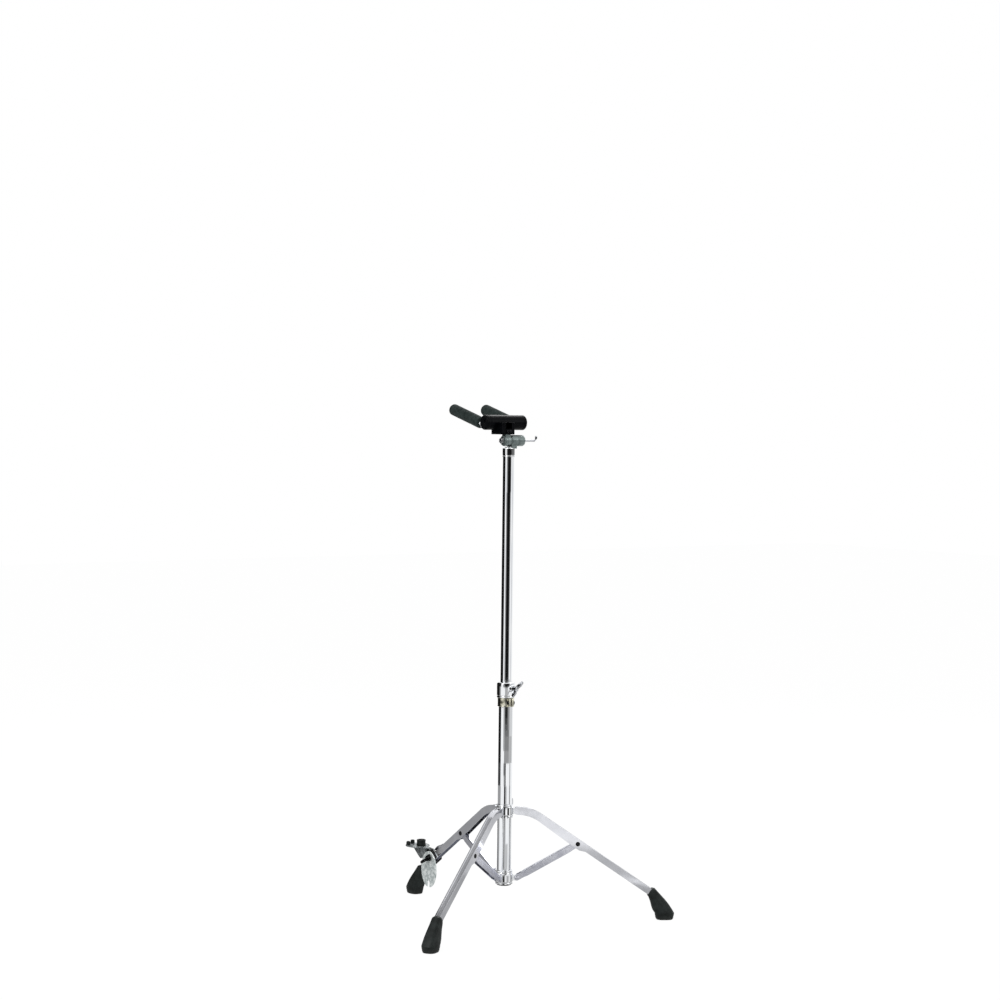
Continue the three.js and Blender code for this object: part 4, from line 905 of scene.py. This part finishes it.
# Floor, cards around the stand, lamps and camera, in metres.
studio = dict(
    white=0.9, floorHalf=12, floorGlow=0.93, glowStrength=1.03, ambient=0.55, reach=0.55,
    lift=0.0015, liftStep=0.0005,  # of the floor cards
    # upright cards: from and to in degrees beside the camera's side, both edges in millimetres, tone in per cent
    cards=[
        (-150, -62, 465, 1150, 1), (-36, -18, 465, 925, 28), (-18, 42, 465, 925, 0.8),
        (-32, -11, 925, 1012, 28), (-11, 50, 925, 1012, 0.8), (50, 60, 925, 1012, 35),
        (-36, -20, 1012, 1150, 28), (-20, 50, 1012, 1150, 0.8), (50, 64, 1012, 1150, 6),
        (42, 56, 465, 925, 35), (84, 112, 465, 1012, 72), (64, 110, 1012, 1150, 14),
        (110, 150, 1012, 1150, 25), (-165, -84, 420, 465, 1), (-84, -66, 420, 465, 40),
        (-12, 24, 420, 465, 45), (-150, -76, 270, 420, 1.5), (-34, -12, 300, 420, 40), (-12, 32, 380, 420, 2),
        (-12, 32, 365, 380, 6), (-12, 36, 350, 365, 12), (-12, 48, 335, 350, 18), (-12, 55, 300, 335, 25),
        (-20, 55, 270, 300, 34), (32, 62, 335, 420, 30), (62, 125, 335, 420, 70), (55, 120, 270, 335, 50),
        (-150, -76, 215, 270, 6), (-28, -10, 240, 270, 33), (-24, -8, 215, 240, 60), (70, 92, 215, 270, 50),
        (-150, -70, 160, 215, 36), (10, 30, 160, 215, 60), (70, 92, 160, 215, 36), (-50, -34, 138, 160, 3),
        (36, 62, 138, 165, 2), (-14, 8, 156, 172, 5), (-76, -52, 406, 425, 2), (-52, -38, 406, 425, 20),
        (8, 34, 0, 12, 8), (-150, -125, 0, 160, 4), (-125, -88, 0, 160, 38), (-2, 18, 0, 138, 55),
        (78, 94, 0, 160, 38), (104, 134, 0, 160, 66), (16, 55, 12, 75, 60),
    ],
    # cards that lie on the floor: from and to in degrees, inner and outer reach, tone
    floorCards=[
        (-180, 180, 0.01, 0.54, 0.45), (-16, 8, 0.4, 0.545, 0.03), (12, 36, 0.4, 0.545, 0.85),
        (64, 100, 0.4, 0.545, 0.85), (-56, -28, 0.4, 0.545, 0.85), (-14, 10, 0.6, 2.6, 0.03),
        (-146, -100, 0.6, 2.6, 0.03),
    ],
    skyCard=(-132, 1.37, 3, 0.45, 0.45),  # angle, reach, height, half its size, tone
    # lamps: angle, reach and height, size in metres, watts
    lamps=dict(
        keyLamp=((-38, 3.4, 3), 2.4, 60), fillLamp=((60, 3.4, 2.2), 2.6, 30),
        backLamp=((165, 2.6, 2.8), 2, 30)),
    aimHeight=0.55)
camera = dict(
    azimuth=144.7, distance=5.26, height=1.1, focalPixels=2391, postPixel=509, horizonPixel=420, lean=0.64,
    pixels=1000, sensor=36, farthest=60)


def seenWhite(tree):
    # camera, glossy and transmission rays all see the same white
    path = addNode(tree, "LightPath", {}).outputs
    first = addNode(tree, "Math", {0: path["Is Camera Ray"], 1: path["Is Glossy Ray"]}, operation="MAXIMUM")
    return addNode(tree, "Math", {0: first, 1: path["Is Transmission Ray"]}, operation="MAXIMUM")


def stageMaterial(name):
    material = bpy.data.materials.new(name)
    material.use_nodes = True
    tree = material.node_tree
    tree.nodes.remove(tree.nodes["Principled BSDF"])
    return material, tree, tree.nodes["Material Output"]


def glowing(tree, strength):
    return addNode(tree, "Emission", {"Color": (1, 1, 1, 1), "Strength": strength})


world = bpy.data.worlds.new("studio")
scene.world = world
world.use_nodes = True
tree = world.node_tree
level = addNode(tree, "MapRange", {"Value": seenWhite(tree), "To Min": studio["ambient"], "To Max": 1})
fill(tree, tree.nodes["Background"], {"Color": (1, 1, 1, 1), "Strength": level})

paper, tree, output = stageMaterial("paperFloor")
matte = addNode(tree, "BsdfDiffuse", {"Color": (studio["white"],) * 3 + (1,)})
share = addNode(tree, "Math", {0: seenWhite(tree), 1: studio["floorGlow"]}, operation="MULTIPLY")
blend = addNode(tree, "MixShader", {"Fac": share, 1: matte, 2: glowing(tree, studio["glowStrength"])})
fill(tree, output, {"Surface": blend})
bm = bmesh.new()
ops.create_grid(bm, x_segments=1, y_segments=1, size=studio["floorHalf"])
floor = inScene("floor", meshOf("floor", bm, paper))


def aroundPost(angle, reach, height):
    # angle in degrees to the right of the camera's side, seen from the camera; metres
    turn = radians(camera["azimuth"] - 90 + angle)
    return Vector((post["x"] / 1000 + reach * cos(turn), post["y"] / 1000 + reach * sin(turn), height))


def cardMaterial(tone):
    name = "card%03d" % round(tone * 1000)
    if name not in bpy.data.materials:
        tree, output = stageMaterial(name)[1:]
        fill(tree, output, {"Surface": glowing(tree, tone)})
    return bpy.data.materials[name]


def hangCard(name, near, far, tone):
    # a card between two rows of points, seen only by gloss
    bm = bmesh.new()
    edges = []
    for row in (near, far):
        verts = [bm.verts.new(place) for place in row]
        edges += [bm.edges.new(pair) for pair in zip(verts, verts[1:])]
    ops.bridge_loops(bm, edges=edges)
    card = inScene(name, meshOf(name, bm, cardMaterial(tone)))
    card.visible_camera = False
    card.visible_shadow = False
    card.visible_diffuse = False


def fan(start, end, reach, height, steps=12):
    return [aroundPost(start + (end - start) * i / steps, reach, height) for i in range(steps + 1)]


for number, (start, end, low, high, tone) in enumerate(studio["cards"]):
    near, far = (fan(start, end, studio["reach"], height / 1000) for height in (low, high))
    hangCard("card%d" % number, near, far, tone / 100)
for number, (start, end, inner, outer, tone) in enumerate(studio["floorCards"]):
    height = studio["lift"] + number * studio["liftStep"]
    hangCard("floorCard%d" % number, fan(start, end, inner, height, 48), fan(start, end, outer, height, 48), tone)
angle, reach, height, half, tone = studio["skyCard"]
middle = aroundPost(angle, reach, height)
corners = [middle + Vector((x * half, y * half, 0)) for x, y in ((-1, -1), (-1, 1), (1, -1), (1, 1))]
hangCard("skyCard", corners[:2], corners[2:], tone)

aim = aroundPost(0, 0, studio["aimHeight"])
for name, (place, size, power) in studio["lamps"].items():
    light = bpy.data.lights.new(name, "AREA")
    light.shape = "DISK"
    light.size = size
    light.energy = power
    lamp = inScene(name, light)
    lamp.location = aroundPost(*place)
    lamp.rotation_euler = (aim - lamp.location).to_track_quat("-Z", "Y").to_euler()

view = bpy.data.cameras.new("camera")
view.sensor_width = camera["sensor"]
view.lens = camera["focalPixels"] * camera["sensor"] / camera["pixels"]
view.shift_y = (camera["horizonPixel"] - camera["pixels"] / 2) / camera["pixels"]
view.clip_end = camera["farthest"]
eye = inScene("camera", view)
eye.location = aroundPost(0, camera["distance"], camera["height"])
yaw = atan((camera["postPixel"] - camera["pixels"] / 2) / camera["focalPixels"])
eye.rotation_euler = (pi / 2, -radians(camera["lean"]), radians(camera["azimuth"]) + yaw)
scene.camera = eye
scene.view_settings.view_transform = "Standard"
print("studio ready")
